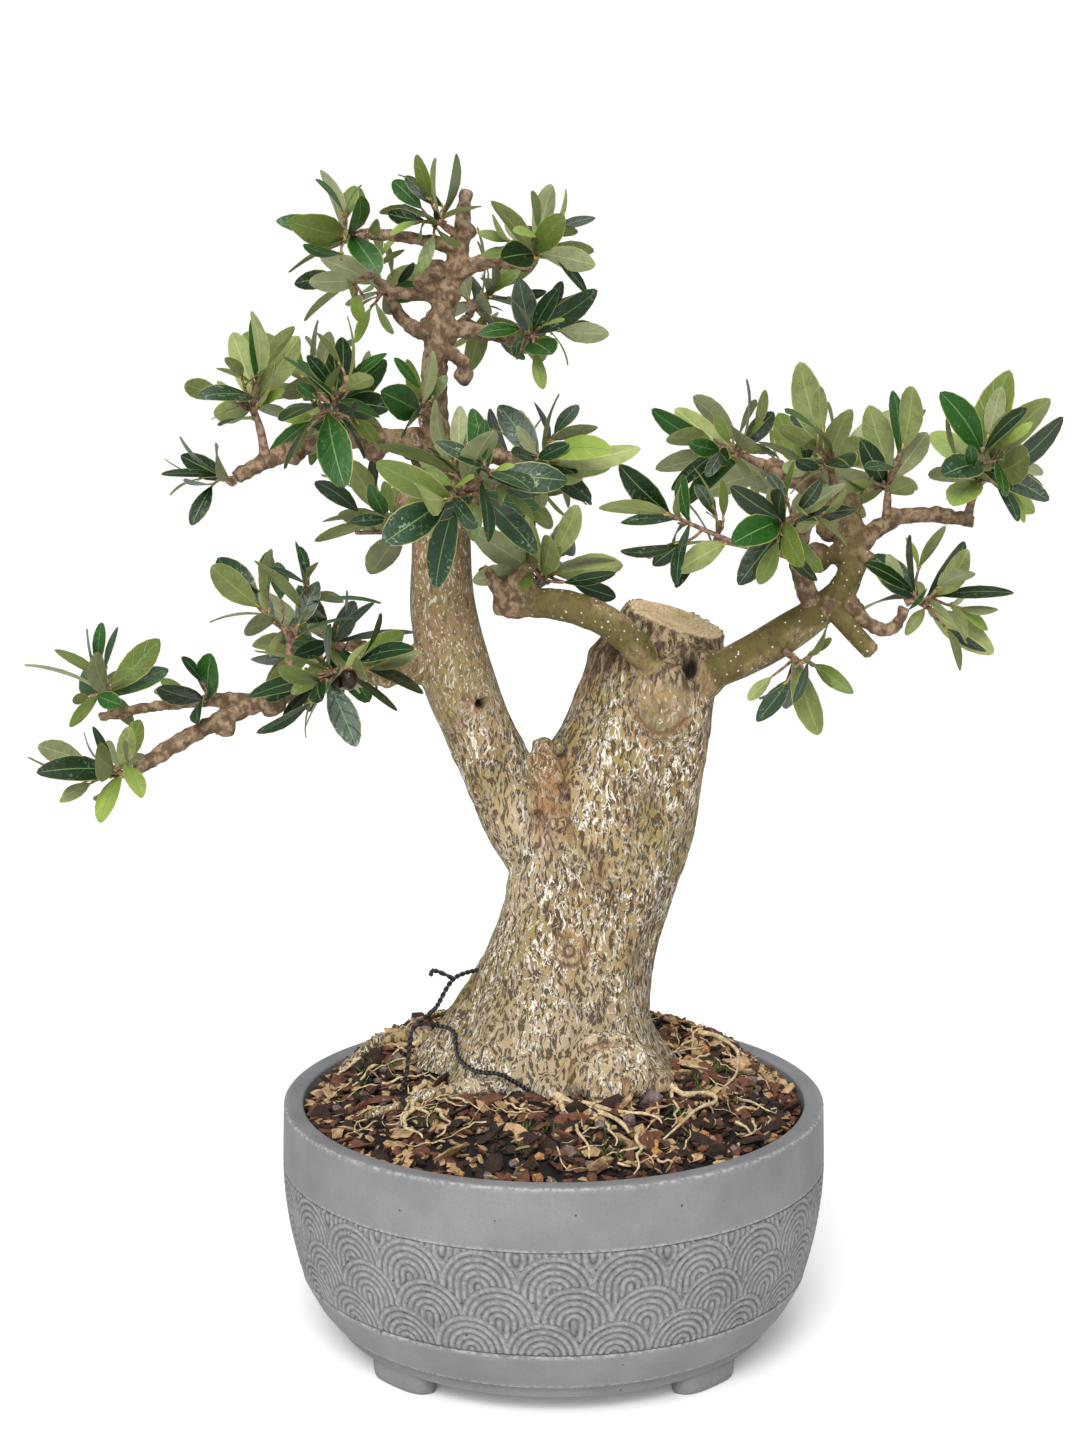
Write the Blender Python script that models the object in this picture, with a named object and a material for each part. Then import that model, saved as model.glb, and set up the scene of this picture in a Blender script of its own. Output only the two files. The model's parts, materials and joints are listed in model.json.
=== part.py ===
"""Olive bonsai in a round stoneware bowl: trunk, limbs, foliage masses, soil and bowl.

Sizes are in millimetres in the tables below and are turned to metres where meshes are made.
The frame has +Z up, its origin at the middle of the bounding box, on the plane under the feet.
The tables are measured from the axis of the bowl, and the last step moves everything over.
"""
import math
import random
from collections import namedtuple

import bmesh
import bpy
from mathutils import Matrix, Vector

MM = 0.001
GAP = 0.3                    # clearance between pieces that touch
EPSILON = 1e-7
CUT_SPARE = 0.15             # extra clearance in a cut, for the facets of the limb it follows

# ---- bowl -------------------------------------------------------------------------------------
RIM_RADIUS = 120.0
RIM_HEIGHT = 108.0
RIM_EASE = 1.2               # rounded rim edges
WALL = 8.7
FLOOR_HEIGHT = 20.0          # inside of the bowl's bottom
FLOOR_RADIUS = 90.0
BAND_STEP = 0.9              # the figured band lies this far behind the plain bands
BAND_TOP = (120.6, 80.7)     # radius and level of the figured band's upper edge
BAND_BELLY = (118.6, 57.0)
BAND_BOTTOM = (113.2, 33.3)
SHOULDER = (109.1, 24.3)     # where the plain lower band turns in
EDGE = (102.9, 15.3)         # sharp lower edge of the bowl
BAND_RINGS = 2
# wave scales that stand on the band's ground: level and shift of each row, a share of a scale
SCALE_ROWS = ((65.0, 0.0), (50.0, 0.55), (35.0, 0.1))
SCALE_COUNT = 24             # in a row
SCALE_REACH = 14.6
SCALE_EDGE = ((0, 1), (60, 1), (120, 1), (180, 1), (270, 0.3))
SCALE_CREST = 0.8            # above the band's ground
SCALE_ROOT = 1.4             # a scale's edge starts this far below the ground
SCALE_BACK = 3.2
FOOT_RING_RADIUS = 98.0
FOOT_HEIGHT = 8.5
FOOT_DEPTH = 15.0            # along the radius
FOOT_HALF_ANGLE = 10.5       # degrees
FOOT_ENDS = ((-1, 0.4), (-0.9, 0.8), (-0.6, 1), (0, 1), (0.6, 1), (0.9, 0.8), (1, 0.4))
FOOT_COUNT = 4
BOWL_SEGMENTS = 30

# ---- soil -------------------------------------------------------------------------------------
SOIL_EDGE = 102.0            # level of the soil against the bowl
SOIL_SEAT = 121.0            # flat level of the soil under the trunk
SEAT_RADIUS = 62.0
SOIL_SEGMENTS = 24
SOIL_SWELL = 1.4             # gentle humps of the soil

# ---- trunk: level, left edge, right edge, depth of the middle, half depth ---------------------
Section = namedtuple("Section", "level left right middle half_depth")
TRUNK = [
    Section(121.3, -58, 56, -1, 44),
    Section(129, -53, 50, -1, 40),
    Section(140, -47, 44, -1, 37),
    Section(155, -40, 42.5, 0, 35),
    Section(175, -30, 45, 0, 33),
    Section(195, -23, 50, 0, 32),
    Section(215, -19, 56.5, 0, 32),
    Section(235, -16, 61, 0, 32),
    Section(255, -9, 65, 0, 32),
    Section(275, 4, 68.5, 1, 31),
    Section(293, 12, 70.5, 2, 29),
    Section(308, 17, 73.5, 3, 26),
]
TRUNK_SIDES = 20
FLARE_TOP = 168.0            # root flare dies away at this level
# direction in degrees, reach in mm and spread in degrees of each root buttress
BUTTRESSES = [(-38, 11, 15), (-82, 6, 20), (-128, 9, 16), (172, 12, 15), (132, 9, 18), (70, 8, 22), (15, 5, 18)]
SAW_CENTRE = (53, 3, 322)
SAW_RADII = (21.5, 19.0)
SAW_TILT = 18.0              # degrees, falling to the right
# lumps of callus: middle and half sizes
CALLUS = [((47, -21, 288), (19, 12, 22)), ((60, -17, 300), (14, 12, 12)), ((-3, -16, 257), (8, 9, 12))]

# ---- left fork of the trunk: x, y, z and radius -----------------------------------------------
FORK = [
    (6, 2, 203, 18), (-13, 1, 233, 17), (-29.5, 0, 266, 15.2), (-41, -1, 296, 15.4), (-47.5, -2, 326, 14.2),
    (-48.5, -2, 352, 13), (-49, -2, 377, 10.5), (-50, -1, 397, 6.4), (-51, 0, 427, 5.6), (-46, 1, 458, 5.2),
    (-40.5, 1, 476, 4.2), (-37, 0, 504, 2.5),
]
FORK_JOINT = 0.2136          # share of the fork's points that belongs to the trunk
FORK_SIDES = 10
LEADER_KNOBS = [((-60, -3, 372), (8, 8, 8)), ((-40, -8, 368), (8, 8, 8)), ((-44, -2, 391), (6, 6, 6)),
                ((-50, -3, 470), (5, 5, 5)), ((-38, -3, 427), (4, 4, 5))]

# ---- boughs: parent, place on it (a share of its length or a point), bend, tip, radii ----------
Limb = namedtuple("Limb", "parent at via tip radius tip_radius")
BOUGHS = {
    "bough_stump_left": Limb("trunk", (44, -16, 297), (19, -31, 327), (-21, -27, 332), 7.2, 6.0),
    "bough_stump_right": Limb("trunk", (60, -15, 298), (95, -18, 315.5), (124, -20, 338), 8.4, 6.8),
    "bough_right_main": Limb("bough_stump_right", 0.93, (126, -5, 364), (91, 5, 388), 6.4, 3.8),
    "bough_right_front": Limb("bough_stump_right", 0.78, (103, -27, 350), (107, -30, 372), 4.2, 3.2),
    "bough_right_far": Limb("bough_right_main", 0.3, (150, 1, 366), (180, 0, 364), 4.4, 2.6),
    "bough_right_low": Limb("bough_stump_right", 0.96, (138, -27, 321), (147, -30, 331), 3.4, 2.2),
    "bough_right_back": Limb("bough_right_main", 0.45, (120, 26, 366), (114, 40, 372), 4.0, 2.6),
    "bough_low_left": Limb("leader", 0.09, (-112, -14, 293), (-177, -36, 262), 6.6, 2.6),
    "bough_low_left_upper": Limb("bough_low_left", 0.6, (-160, -10, 287), (-196, -8, 280), 3.4, 1.9),
    "bough_low_left_back": Limb("bough_low_left", 0.2, (-78, 16, 306), (-92, 26, 306), 3.8, 2.4),
    "bough_mid_left": Limb("leader", 0.53, (-95, -4, 399), (-134, -15, 384), 5.4, 2.8),
    "bough_mid_left_back": Limb("leader", 0.47, (-66, 32, 394), (-86, 44, 402), 4.2, 2.6),
    "bough_centre_front": Limb("leader", 0.43, (-38, -26, 384), (-33, -40, 376), 4.8, 3.4),
    "bough_centre_right": Limb("leader", 0.48, (-28, 4, 392), (-14, 6, 388), 4.4, 3.0),
    "bough_centre_back": Limb("leader", 0.4, (-34, 34, 376), (-24, 50, 378), 4.2, 2.6),
    "bough_top_left": Limb("leader", 0.9, (-62, -6, 484), (-78, -9, 485), 2.9, 2.2),
    "bough_top_left_mid": Limb("leader", 0.78, (-65, -2, 461), (-75, -4, 467), 2.9, 2.1),
    "bough_top_left_low": Limb("leader", 0.71, (-61, 6, 447), (-69, 14, 457), 3.5, 2.6),
    "bough_top_right": Limb("leader", 0.83, (-25, -6, 474.5), (-9, -13, 471), 3.8, 2.6),
    "bough_top_right_low": Limb("leader", 0.72, (-28, 5, 444), (-13, 8, 437), 3.8, 2.2),
    "bough_top_back": Limb("leader", 0.68, (-44, 30, 442), (-38, 44, 450), 3.2, 2.2),
}
LIMB_SIDES = 7
SLIM_SIDES = 5
SLIM_RADIUS = 4.0            # limbs and roots under this radius have fewer sides
LIMB_RINGS = 5
LIMB_SWELL = 0.07            # slight swellings along each limb
CUT_STUB = ((116, -24, 331), (133, -38, 313), 4.3, 3.9)

# ---- surface roots: ends given as direction and distance from the axis of the bowl ------------
Root = namedtuple("Root", "directions distances radius tip_radius")
ROOTS = {
    "root_left": Root((158, 168, 172), (50, 76, 97), 4.6, 2.0),
    "root_front_left": Root((-118, -138, -152), (44, 66, 92), 4.2, 1.8),
}

# ---- tie wire: direction, clearance from the trunk and height above the soil --------------------
WIRE_RADIUS = 0.95
WIRE_ROUTE = [(196, 9, 24), (204, 3, 22), (216, 3, 14), (231, 4, 11), (243, 4, 11), (253, 4, 7), (264, 4, 1.8),
              (275, 5, 1.8)]
WIRE_SIDES = 5

# ---- foliage masses: limb, place on it, middle and reach of its space, shoots, seed -------------
Mass = namedtuple("Mass", "limb at centre reach shoots seed")
MASSES = {
    "leaves_low_left_tip": Mass("bough_low_left", 1, (-189, -42, 264), (38, 34, 24), 5, 15),
    "leaves_low_left_upper": Mass("bough_low_left_upper", 0.93, (-196, -10, 298), (34, 34, 24), 5, 211),
    "leaves_low_left_middle": Mass("bough_low_left_upper", 0.3, (-150, -16, 290), (27, 30, 28), 4, 125),
    "leaves_low_left_riser": Mass("bough_low_left", 0.5, (-113, -12, 339), (38, 34, 35), 5, 160),
    "leaves_low_left_inner": Mass("bough_low_left", 0.36, (-92, -38, 302), (50, 32, 28), 6, 264),
    "leaves_low_left_back": Mass("bough_low_left_back", 1, (-105, 45, 304), (42, 40, 31), 4, 38),
    "leaves_mid_left_tip": Mass("bough_mid_left", 1, (-141, -21, 386), (25, 28, 24), 4, 21),
    "leaves_mid_left_outer": Mass("bough_mid_left", 0.84, (-130, -14, 430), (27, 34, 32), 6, 86),
    "leaves_mid_left_inner": Mass("bough_mid_left", 0.5, (-92, -30, 422), (31, 36, 38), 6, 125),
    "leaves_mid_left_near": Mass("leader", 0.57, (-61, -32, 419), (20, 28, 24), 3, 284),
    "leaves_mid_left_under": Mass("leader", 0.33, (-85, 6, 364), (29, 34, 32), 5, 96),
    "leaves_mid_left_back": Mass("bough_mid_left_back", 1, (-105, 62, 415), (45, 42, 34), 4, 83),
    "leaves_top_left": Mass("bough_top_left", 1, (-89, -18, 485), (28, 34, 30), 5, 89),
    "leaves_top_left_mid": Mass("bough_top_left_mid", 1, (-88, -8, 464), (26, 30, 20), 3, 139),
    "leaves_top_left_low": Mass("bough_top_left_low", 1, (-76, 26, 463), (28, 32, 26), 4, 261),
    "leaves_top_apex": Mass("leader", 0.92, (-54, -10, 494), (28, 32, 26), 5, 228),
    "leaves_top_right": Mass("bough_top_right", 0.93, (-5, -20, 482), (31, 32, 26), 6, 260),
    "leaves_top_right_low": Mass("bough_top_right_low", 0.92, (-6, 8, 446), (32, 34, 24), 5, 77),
    "leaves_top_back": Mass("bough_top_back", 1, (-33, 62, 459), (38, 38, 33), 4, 215),
    "leaves_centre_front": Mass("bough_centre_front", 0.93, (-38, -62, 386), (41, 42, 48), 5, 286),
    "leaves_centre_right": Mass("bough_centre_right", 1, (-1, 8, 392), (38, 40, 28), 6, 112),
    "leaves_centre_low": Mass("bough_stump_left", 0.93, (2, -20, 352), (42, 38, 25), 5, 52),
    "leaves_centre_back": Mass("bough_centre_back", 1, (-11, 74, 380), (41, 42, 34), 4, 300),
    "leaves_right_inner": Mass("bough_right_main", 1, (71, 8, 397), (34, 36, 34), 6, 116),
    "leaves_right_inner_low": Mass("bough_right_front", 0.55, (44, -30, 364), (32, 34, 32), 5, 39),
    "leaves_right_front": Mass("bough_right_front", 0.93, (92, -58, 368), (34, 36, 27), 5, 46),
    "leaves_right_high": Mass("bough_right_main", 0.62, (113, -12, 404), (26, 36, 30), 6, 16),
    "leaves_right_middle": Mass("bough_right_far", 0.35, (143, -4, 393), (26, 36, 40), 6, 86),
    "leaves_right_tip": Mass("bough_right_far", 0.96, (186, -4, 396), (40, 38, 36), 6, 268),
    "leaves_right_low": Mass("bough_right_low", 1, (158, -32, 334), (38, 36, 31), 5, 297),
    "leaves_right_hanging": Mass("bough_stump_right", 0.5, (108, -40, 303), (27, 28, 33), 3, 2),
    "leaves_right_back": Mass("bough_right_back", 1, (116, 66, 383), (50, 44, 36), 5, 69),
}
GOLDEN = math.pi * (3 - math.sqrt(5))
LEAF_LENGTH = 35.0
LEAF_VARY = 0.16
LEAF_SLIM = 0.37             # width over length
LEAF_THICK = 0.85
LEAF_ARCH = 0.03             # how far a leaf bows, as a share of its length
LEAF_SET = 0.35              # a leaf starts this far off its twig's middle line, inside the twig
LEAF_FITS = (1.0, 0.85, 0.7)
PAIR_ANGLES = (24, 52, 78)   # degrees from the shoot, from its tip down
PAIR_STEP = 4.6
NODE_BACK = 1.8              # the last pair of leaves starts this far back from the twig's end
HEART = 0.6                  # how far the stem runs towards the middle of its space
SHOOT_MIN, SHOOT_MAX = 3.0, 26.0
LONG_SHOOT = 10.0
TWIG_RADIUS = 1.15
TWIG_TIP = 0.8
STEM_MAX = 2.4
TWIG_SIDES = 3
SPACE_EDGE = 1.12            # leaves may reach this far past a space's half sizes
SPACE_MARGIN = 0.07          # share of a space's reach kept free along its borders
LIMB_CLEAR = 2.1
LEAF_CLEAR = 4.6
FRUITS = {"leaves_low_left_inner": 2}
FRUIT_RADIUS = 4.4


# ------------------------------------------------------------------------- curves and limbs ----
def bend(start, via, tip, share):
    """Point on the parabola that runs from start to tip and passes via half way."""
    control = 2 * via - (start + tip) / 2
    return (1 - share) ** 2 * start + 2 * share * (1 - share) * control + share ** 2 * tip


def spline(points, share):
    """Point and radius on a smooth curve through (x, y, z, radius) points."""
    place = min(max(share, 0.0), 1.0) * (len(points) - 1)
    index = min(int(place), len(points) - 2)
    near = [Vector(points[min(max(index + step, 0), len(points) - 1)]) for step in (-1, 0, 1, 2)]
    t = place - index
    a, b, c, d = near
    return 0.5 * (2 * b + (c - a) * t + (2 * a - 5 * b + 4 * c - d) * t * t + (3 * b - a - 3 * c + d) * t ** 3)


def fork_place(share):
    """Point and radius of the left fork at a share of its length, from inside the trunk to the apex."""
    found = spline([Vector(point) for point in FORK], share)
    return Vector(found[:3]), found[3]


def limb_place(name, share):
    """Point and radius on a limb's middle line."""
    if name == "leader":
        return fork_place(FORK_JOINT + (1 - FORK_JOINT) * share)
    limb = BOUGHS[name]
    start = Vector(limb.at) if isinstance(limb.at, tuple) else limb_place(limb.parent, limb.at)[0]
    point = bend(start, Vector(limb.via), Vector(limb.tip), share)
    swell = 1 + LIMB_SWELL * math.sin(7 * share + len(name))
    return point, (limb.radius + (limb.tip_radius - limb.radius) * share) * swell


def limb_way(name, share):
    """Unit direction of a limb at a share of its length."""
    step = 0.02
    return (limb_place(name, min(share + step, 1))[0] - limb_place(name, max(share - step, 0))[0]).normalized()


def limb_rods(count=12):
    """Every limb as short straight rods (start, end, radius) for clearance tests."""
    rods = []
    for name in ["leader", *BOUGHS]:
        places = [limb_place(name, step / count) for step in range(count + 1)]
        rods += [(a, b, max(ra, rb), name) for (a, ra), (b, rb) in zip(places, places[1:])]
    trunk_line = [(Vector(((s.left + s.right) / 2, s.middle, s.level)), s.half_depth) for s in TRUNK]
    rods += [(a, b, max(ra, rb), "trunk") for (a, ra), (b, rb) in zip(trunk_line, trunk_line[1:])]
    rods.append((trunk_line[-1][0], Vector(SAW_CENTRE), SAW_RADII[0], "trunk"))
    stub_start, stub_end, stub_radius, _ = CUT_STUB
    rods.append((Vector(stub_start), Vector(stub_end), stub_radius, "bough_stump_right"))
    return rods


def distance_to_rod(point, rod):
    """Distance from a point to a rod's surface."""
    start, end, radius = rod[:3]
    along = end - start
    share = min(max((point - start).dot(along) / along.length_squared, 0), 1)
    return (point - start - along * share).length - radius


# --------------------------------------------------------------------------- foliage's rule ----
def stem_of(mass):
    """Start, heart and radius of the stem that carries a mass."""
    place, radius = limb_place(mass.limb, mass.at)
    radius = min(0.8 * radius, STEM_MAX)
    if mass.at == 1:
        # the foot of a stem that turns off its limb dips on one side, and still keeps the gap
        end_way = limb_way(mass.limb, 1)
        way = (Vector(mass.centre) - place).normalized()
        place = place + end_way * (GAP + radius * end_way.cross(way).length)
    return place, place.lerp(Vector(mass.centre), HEART), radius


def space_share(mass, point):
    """0 at the middle of a mass's space and 1 at its edge."""
    away = point - Vector(mass.centre)
    return math.sqrt(sum((away[axis] / mass.reach[axis]) ** 2 for axis in range(3)))


def room_along(mass, start, way):
    """Distance from start to the edge of the space."""
    a = sum((way[axis] / mass.reach[axis]) ** 2 for axis in range(3))
    off = start - Vector(mass.centre)
    b = sum(way[axis] * off[axis] / mass.reach[axis] ** 2 for axis in range(3))
    c = sum((off[axis] / mass.reach[axis]) ** 2 for axis in range(3)) - 1
    inside = b * b - a * c
    return (-b + math.sqrt(inside)) / a if inside > 0 else 0.0


def in_space(mass, others, point):
    """True where a point belongs to this mass and to no other."""
    own = space_share(mass, point)
    if own > SPACE_EDGE:
        return False
    return all(own + SPACE_MARGIN < space_share(other, point) for other in others)


def side_vector(way, angle):
    """Unit vector at right angles to way, turned about it by angle."""
    flat = Vector((0, 0, 1)) if abs(way.z) < 0.9 else Vector((1, 0, 0))
    first = way.cross(flat).normalized()
    second = way.cross(first)
    return first * math.cos(angle) + second * math.sin(angle)


def leaf_points(leaf):
    """Points along a leaf's middle line and at its edges, for the tests of its place."""
    base, along, face, length = leaf
    across = along.cross(face)
    half = LEAF_SLIM * length / 2
    line = [base + along * length * share for share in (0.3, 0.55, 0.8, 1.0)]
    edge = [base + along * length * share + across * half * side for share in (0.35, 0.7) for side in (-1, 1)]
    return line + edge


def neighbours(name, masses):
    """The masses whose spaces come near this one's."""
    mass = masses[name]
    near = []
    for other_name, other in masses.items():
        if other_name == name:
            continue
        away = [abs(mass.centre[axis] - other.centre[axis]) - mass.reach[axis] - other.reach[axis] for axis in range(3)]
        if max(away) < 0:
            near.append(other)
    return near


def obstacles(name, masses, rods):
    """Limbs and other masses' stems near a mass, as rods."""
    mass = masses[name]
    centre = Vector(mass.centre)
    reach = max(mass.reach)
    stems = []
    for other_name, other in masses.items():
        if other_name != name:
            start, heart, radius = stem_of(other)
            stems.append((start, heart, radius, other_name))
    return [rod for rod in rods + stems
            if min((rod[0] - centre).length, (rod[1] - centre).length) < reach + rod[2] + 25]


def grow(name, masses, rods):
    """Twigs (start, end, radius, end radius, turn) and leaves (base, way, face, length) of one mass."""
    mass = masses[name]
    rng = random.Random(mass.seed)
    others = neighbours(name, masses)
    near = obstacles(name, masses, rods)
    start, heart, radius = stem_of(mass)
    twigs = [(start, heart, radius, TWIG_RADIUS, 0)]
    leaves = []
    taken = []
    turn = rng.uniform(0, 2 * math.pi)
    for shoot in range(mass.shoots):
        rise = 0.92 - 1.5 * (shoot + rng.uniform(0.2, 0.8)) / mass.shoots
        spin = turn + shoot * GOLDEN + rng.uniform(-0.5, 0.5)
        level = math.sqrt(1 - rise * rise)
        way = Vector((level * math.cos(spin), level * math.sin(spin), rise))
        length = LEAF_LENGTH * rng.uniform(1 - LEAF_VARY, 1 + LEAF_VARY)
        room = room_along(mass, heart, way)
        if room < 0.5 * length:
            continue
        reach = min(max(room - 0.85 * length, SHOOT_MIN), SHOOT_MAX)
        root = start.lerp(heart, rng.uniform(0.7, 1.0) if shoot else 1.0)
        tip = heart + way * reach
        if not in_space(mass, others, tip):
            continue
        if any(distance_to_rod(heart.lerp(tip, share), rod) < LIMB_CLEAR for share in (0.5, 1) for rod in near):
            continue
        axis = (tip - root).normalized()
        phase = rng.uniform(0, math.pi)
        twigs.append((root, tip, TWIG_RADIUS, TWIG_TIP, phase))
        pairs = len(PAIR_ANGLES) if reach > LONG_SHOOT else len(PAIR_ANGLES) - 1
        for pair in range(pairs):
            node = tip - axis * (pair * PAIR_STEP + NODE_BACK)
            for side in (0, math.pi):
                lean = math.radians(PAIR_ANGLES[pair] + rng.uniform(-9, 9))
                out = side_vector(axis, phase + pair * math.pi / 2 + side + rng.uniform(-0.25, 0.25))
                along = axis * math.cos(lean) + out * math.sin(lean)
                face = axis * math.sin(lean) - out * math.cos(lean)
                face = (face + along.cross(face) * rng.uniform(-0.5, 0.5)).normalized()
                full = length * rng.uniform(0.88, 1.08)
                for fit in LEAF_FITS:
                    leaf = (node + out * LEAF_SET, along, face, full * fit)
                    points = leaf_points(leaf)
                    if not all(in_space(mass, others, point) for point in points):
                        continue
                    if any(distance_to_rod(point, rod) < LIMB_CLEAR for point in points for rod in near):
                        continue
                    if any((point - other).length < LEAF_CLEAR for point in points for other in taken):
                        continue
                    leaves.append(leaf)
                    taken += points
                    break
    return twigs, leaves


# ------------------------------------------------------------------------------ mesh making ----
def make_material(name, colour, roughness):
    """A plain principled material."""
    material = bpy.data.materials.new(name)
    material.use_nodes = True
    shader = material.node_tree.nodes["Principled BSDF"]
    shader.inputs["Base Color"].default_value = (*colour, 1)
    shader.inputs["Roughness"].default_value = roughness
    return material


def skin(bm, rings):
    """Closed body over rings of points, each ring with the same count, with flat end caps."""
    loops = [[bm.verts.new(point * MM) for point in ring] for ring in rings]
    count = len(loops[0])
    for lower, upper in zip(loops, loops[1:]):
        for index in range(count):
            after = (index + 1) % count
            bm.faces.new((lower[index], lower[after], upper[after], upper[index]))
    bm.faces.new(list(reversed(loops[0])))
    bm.faces.new(loops[-1])


def tube_rings(places, sides, turn=0.0, end_ways=(None, None)):
    """Rings round a line of (point, radius) places, carried along without twist.

    The first and last ring may be turned to face given ways.
    """
    rings = []
    ways = []
    for index in range(len(places)):
        before = places[max(index - 1, 0)][0]
        after = places[min(index + 1, len(places) - 1)][0]
        ways.append((after - before).normalized())
    ways[0] = end_ways[0] or ways[0]
    ways[-1] = end_ways[1] or ways[-1]
    first = side_vector(ways[0], turn)
    for (point, radius), way in zip(places, ways):
        first = (first - way * first.dot(way)).normalized()
        second = way.cross(first)
        angles = [2 * math.pi * side / sides for side in range(sides)]
        rings.append([point + (first * math.cos(angle) + second * math.sin(angle)) * radius for angle in angles])
    return rings


def finish(name, bm, material):
    """Turn a bmesh into an object of the scene."""
    bmesh.ops.recalc_face_normals(bm, faces=bm.faces)
    mesh = bpy.data.meshes.new(name)
    bm.to_mesh(mesh)
    bm.free()
    mesh.materials.append(material)
    thing = bpy.data.objects.new(name, mesh)
    bpy.context.scene.collection.objects.link(thing)
    return thing


def body_of(name, rings, material):
    """One closed body over rings."""
    bm = bmesh.new()
    skin(bm, rings)
    return finish(name, bm, material)


def lump(name, centre, half_sizes, material, fineness=2):
    """A rounded lump."""
    bm = bmesh.new()
    place = Matrix.Translation(Vector(centre) * MM) @ Matrix.Diagonal((*[half * MM for half in half_sizes], 1))
    bmesh.ops.create_icosphere(bm, subdivisions=fineness, radius=1, matrix=place)
    return finish(name, bm, material)


def apply_boolean(thing, operation, cutters):
    """Join or cut by all the cutters at once, then remove them."""
    group = bpy.data.collections.new("operands")
    bpy.context.scene.collection.children.link(group)
    for cutter in cutters:
        bpy.context.scene.collection.objects.unlink(cutter)
        group.objects.link(cutter)
        cutter.hide_render = True
        cutter.display_type = "WIRE"
    modifier = thing.modifiers.new("fuse", "BOOLEAN")
    modifier.operation = operation
    modifier.solver = "EXACT"
    modifier.operand_type = "COLLECTION"
    modifier.collection = group
    bpy.context.view_layer.update()
    result = bpy.data.meshes.new_from_object(thing.evaluated_get(bpy.context.evaluated_depsgraph_get()))
    thing.modifiers.clear()
    thing.data = result
    for cutter in cutters:
        bpy.data.objects.remove(cutter)
    bpy.data.collections.remove(group)
    keep_largest(thing)
    return thing


def keep_largest(thing):
    """Drop loose scraps and the shells of sealed hollows, so that one closed body is left."""
    bm = bmesh.new()
    bm.from_mesh(thing.data)
    bmesh.ops.remove_doubles(bm, verts=bm.verts, dist=EPSILON)
    unseen = set(bm.faces)
    shells = []
    while unseen:
        shell = [unseen.pop()]
        for face in shell:
            for edge in face.edges:
                for other in edge.link_faces:
                    if other in unseen:
                        unseen.remove(other)
                        shell.append(other)
        shells.append(shell)
    shells.sort(key=lambda shell: -sum(face.calc_area() for face in shell))
    for shell in shells[1:]:
        bmesh.ops.delete(bm, geom=shell, context="FACES")
    bm.to_mesh(thing.data)
    bm.free()


def swollen_copy(thing):
    """A copy of a limb a little larger all round, which cuts its neighbour clear of it."""
    copy = bpy.data.objects.new("clearance", thing.data.copy())
    bpy.context.scene.collection.objects.link(copy)
    normals = [vertex.normal.copy() for vertex in copy.data.vertices]
    for vertex, normal in zip(copy.data.vertices, normals):
        vertex.co += normal * (GAP + CUT_SPARE) * MM
    return copy


# ------------------------------------------------------------------------------- bowl, soil ----
def outer_profile():
    """Radius and level down the outside of the bowl, from the rim to the sharp lower edge."""
    top, belly, bottom = (Vector(point) for point in (BAND_TOP, BAND_BELLY, BAND_BOTTOM))
    band = [bend(top, belly, bottom, step / BAND_RINGS) for step in range(BAND_RINGS + 1)]
    recessed = [(radius - BAND_STEP, level) for radius, level in band]
    recessed[0] = (recessed[0][0], recessed[0][1] - BAND_STEP / 2)
    recessed[-1] = (recessed[-1][0], recessed[-1][1] + BAND_STEP / 2)
    return [(RIM_RADIUS, RIM_HEIGHT - RIM_EASE), BAND_TOP, *recessed, BAND_BOTTOM, SHOULDER, EDGE]


def inner_radius(level):
    """Radius of the bowl's inside at a level."""
    profile = [(RIM_RADIUS, RIM_HEIGHT), BAND_TOP, BAND_BELLY, BAND_BOTTOM, SHOULDER, (FLOOR_RADIUS + WALL, FLOOR_HEIGHT)]
    for (upper_radius, upper), (lower_radius, lower) in zip(profile, profile[1:]):
        if level >= lower:
            share = (level - lower) / (upper - lower)
            return lower_radius + (upper_radius - lower_radius) * share - WALL
    return FLOOR_RADIUS


def band_point(around, level, rise):
    """Point near the band: distance round the bowl, level and rise above the band's ground."""
    share = (BAND_TOP[1] - level) / (BAND_TOP[1] - BAND_BOTTOM[1])
    top, belly, bottom = (Vector(point) for point in (BAND_TOP, BAND_BELLY, BAND_BOTTOM))
    radius = bend(top, belly, bottom, share)[0] - BAND_STEP + rise
    angle = around / BAND_BELLY[0]
    return Vector((radius * math.cos(angle), radius * math.sin(angle), level))


def make_scale(around, level, material):
    """One fan-shaped wave scale, raised to a low crest."""
    bm = bmesh.new()
    ring = []
    for degrees, share in SCALE_EDGE:
        angle = math.radians(degrees)
        side, up = SCALE_REACH * share * math.cos(angle), SCALE_REACH * share * math.sin(angle)
        ring.append(bm.verts.new(band_point(around + side, level + up, -SCALE_ROOT) * MM))
    crest = bm.verts.new(band_point(around, level + 0.35 * SCALE_REACH, SCALE_CREST) * MM)
    back = bm.verts.new(band_point(around, level + 0.35 * SCALE_REACH, -SCALE_BACK) * MM)
    for start, end in zip(ring, ring[1:] + ring[:1]):
        bm.faces.new((start, end, crest))
        bm.faces.new((end, start, back))
    return finish("scale", bm, material)


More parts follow.
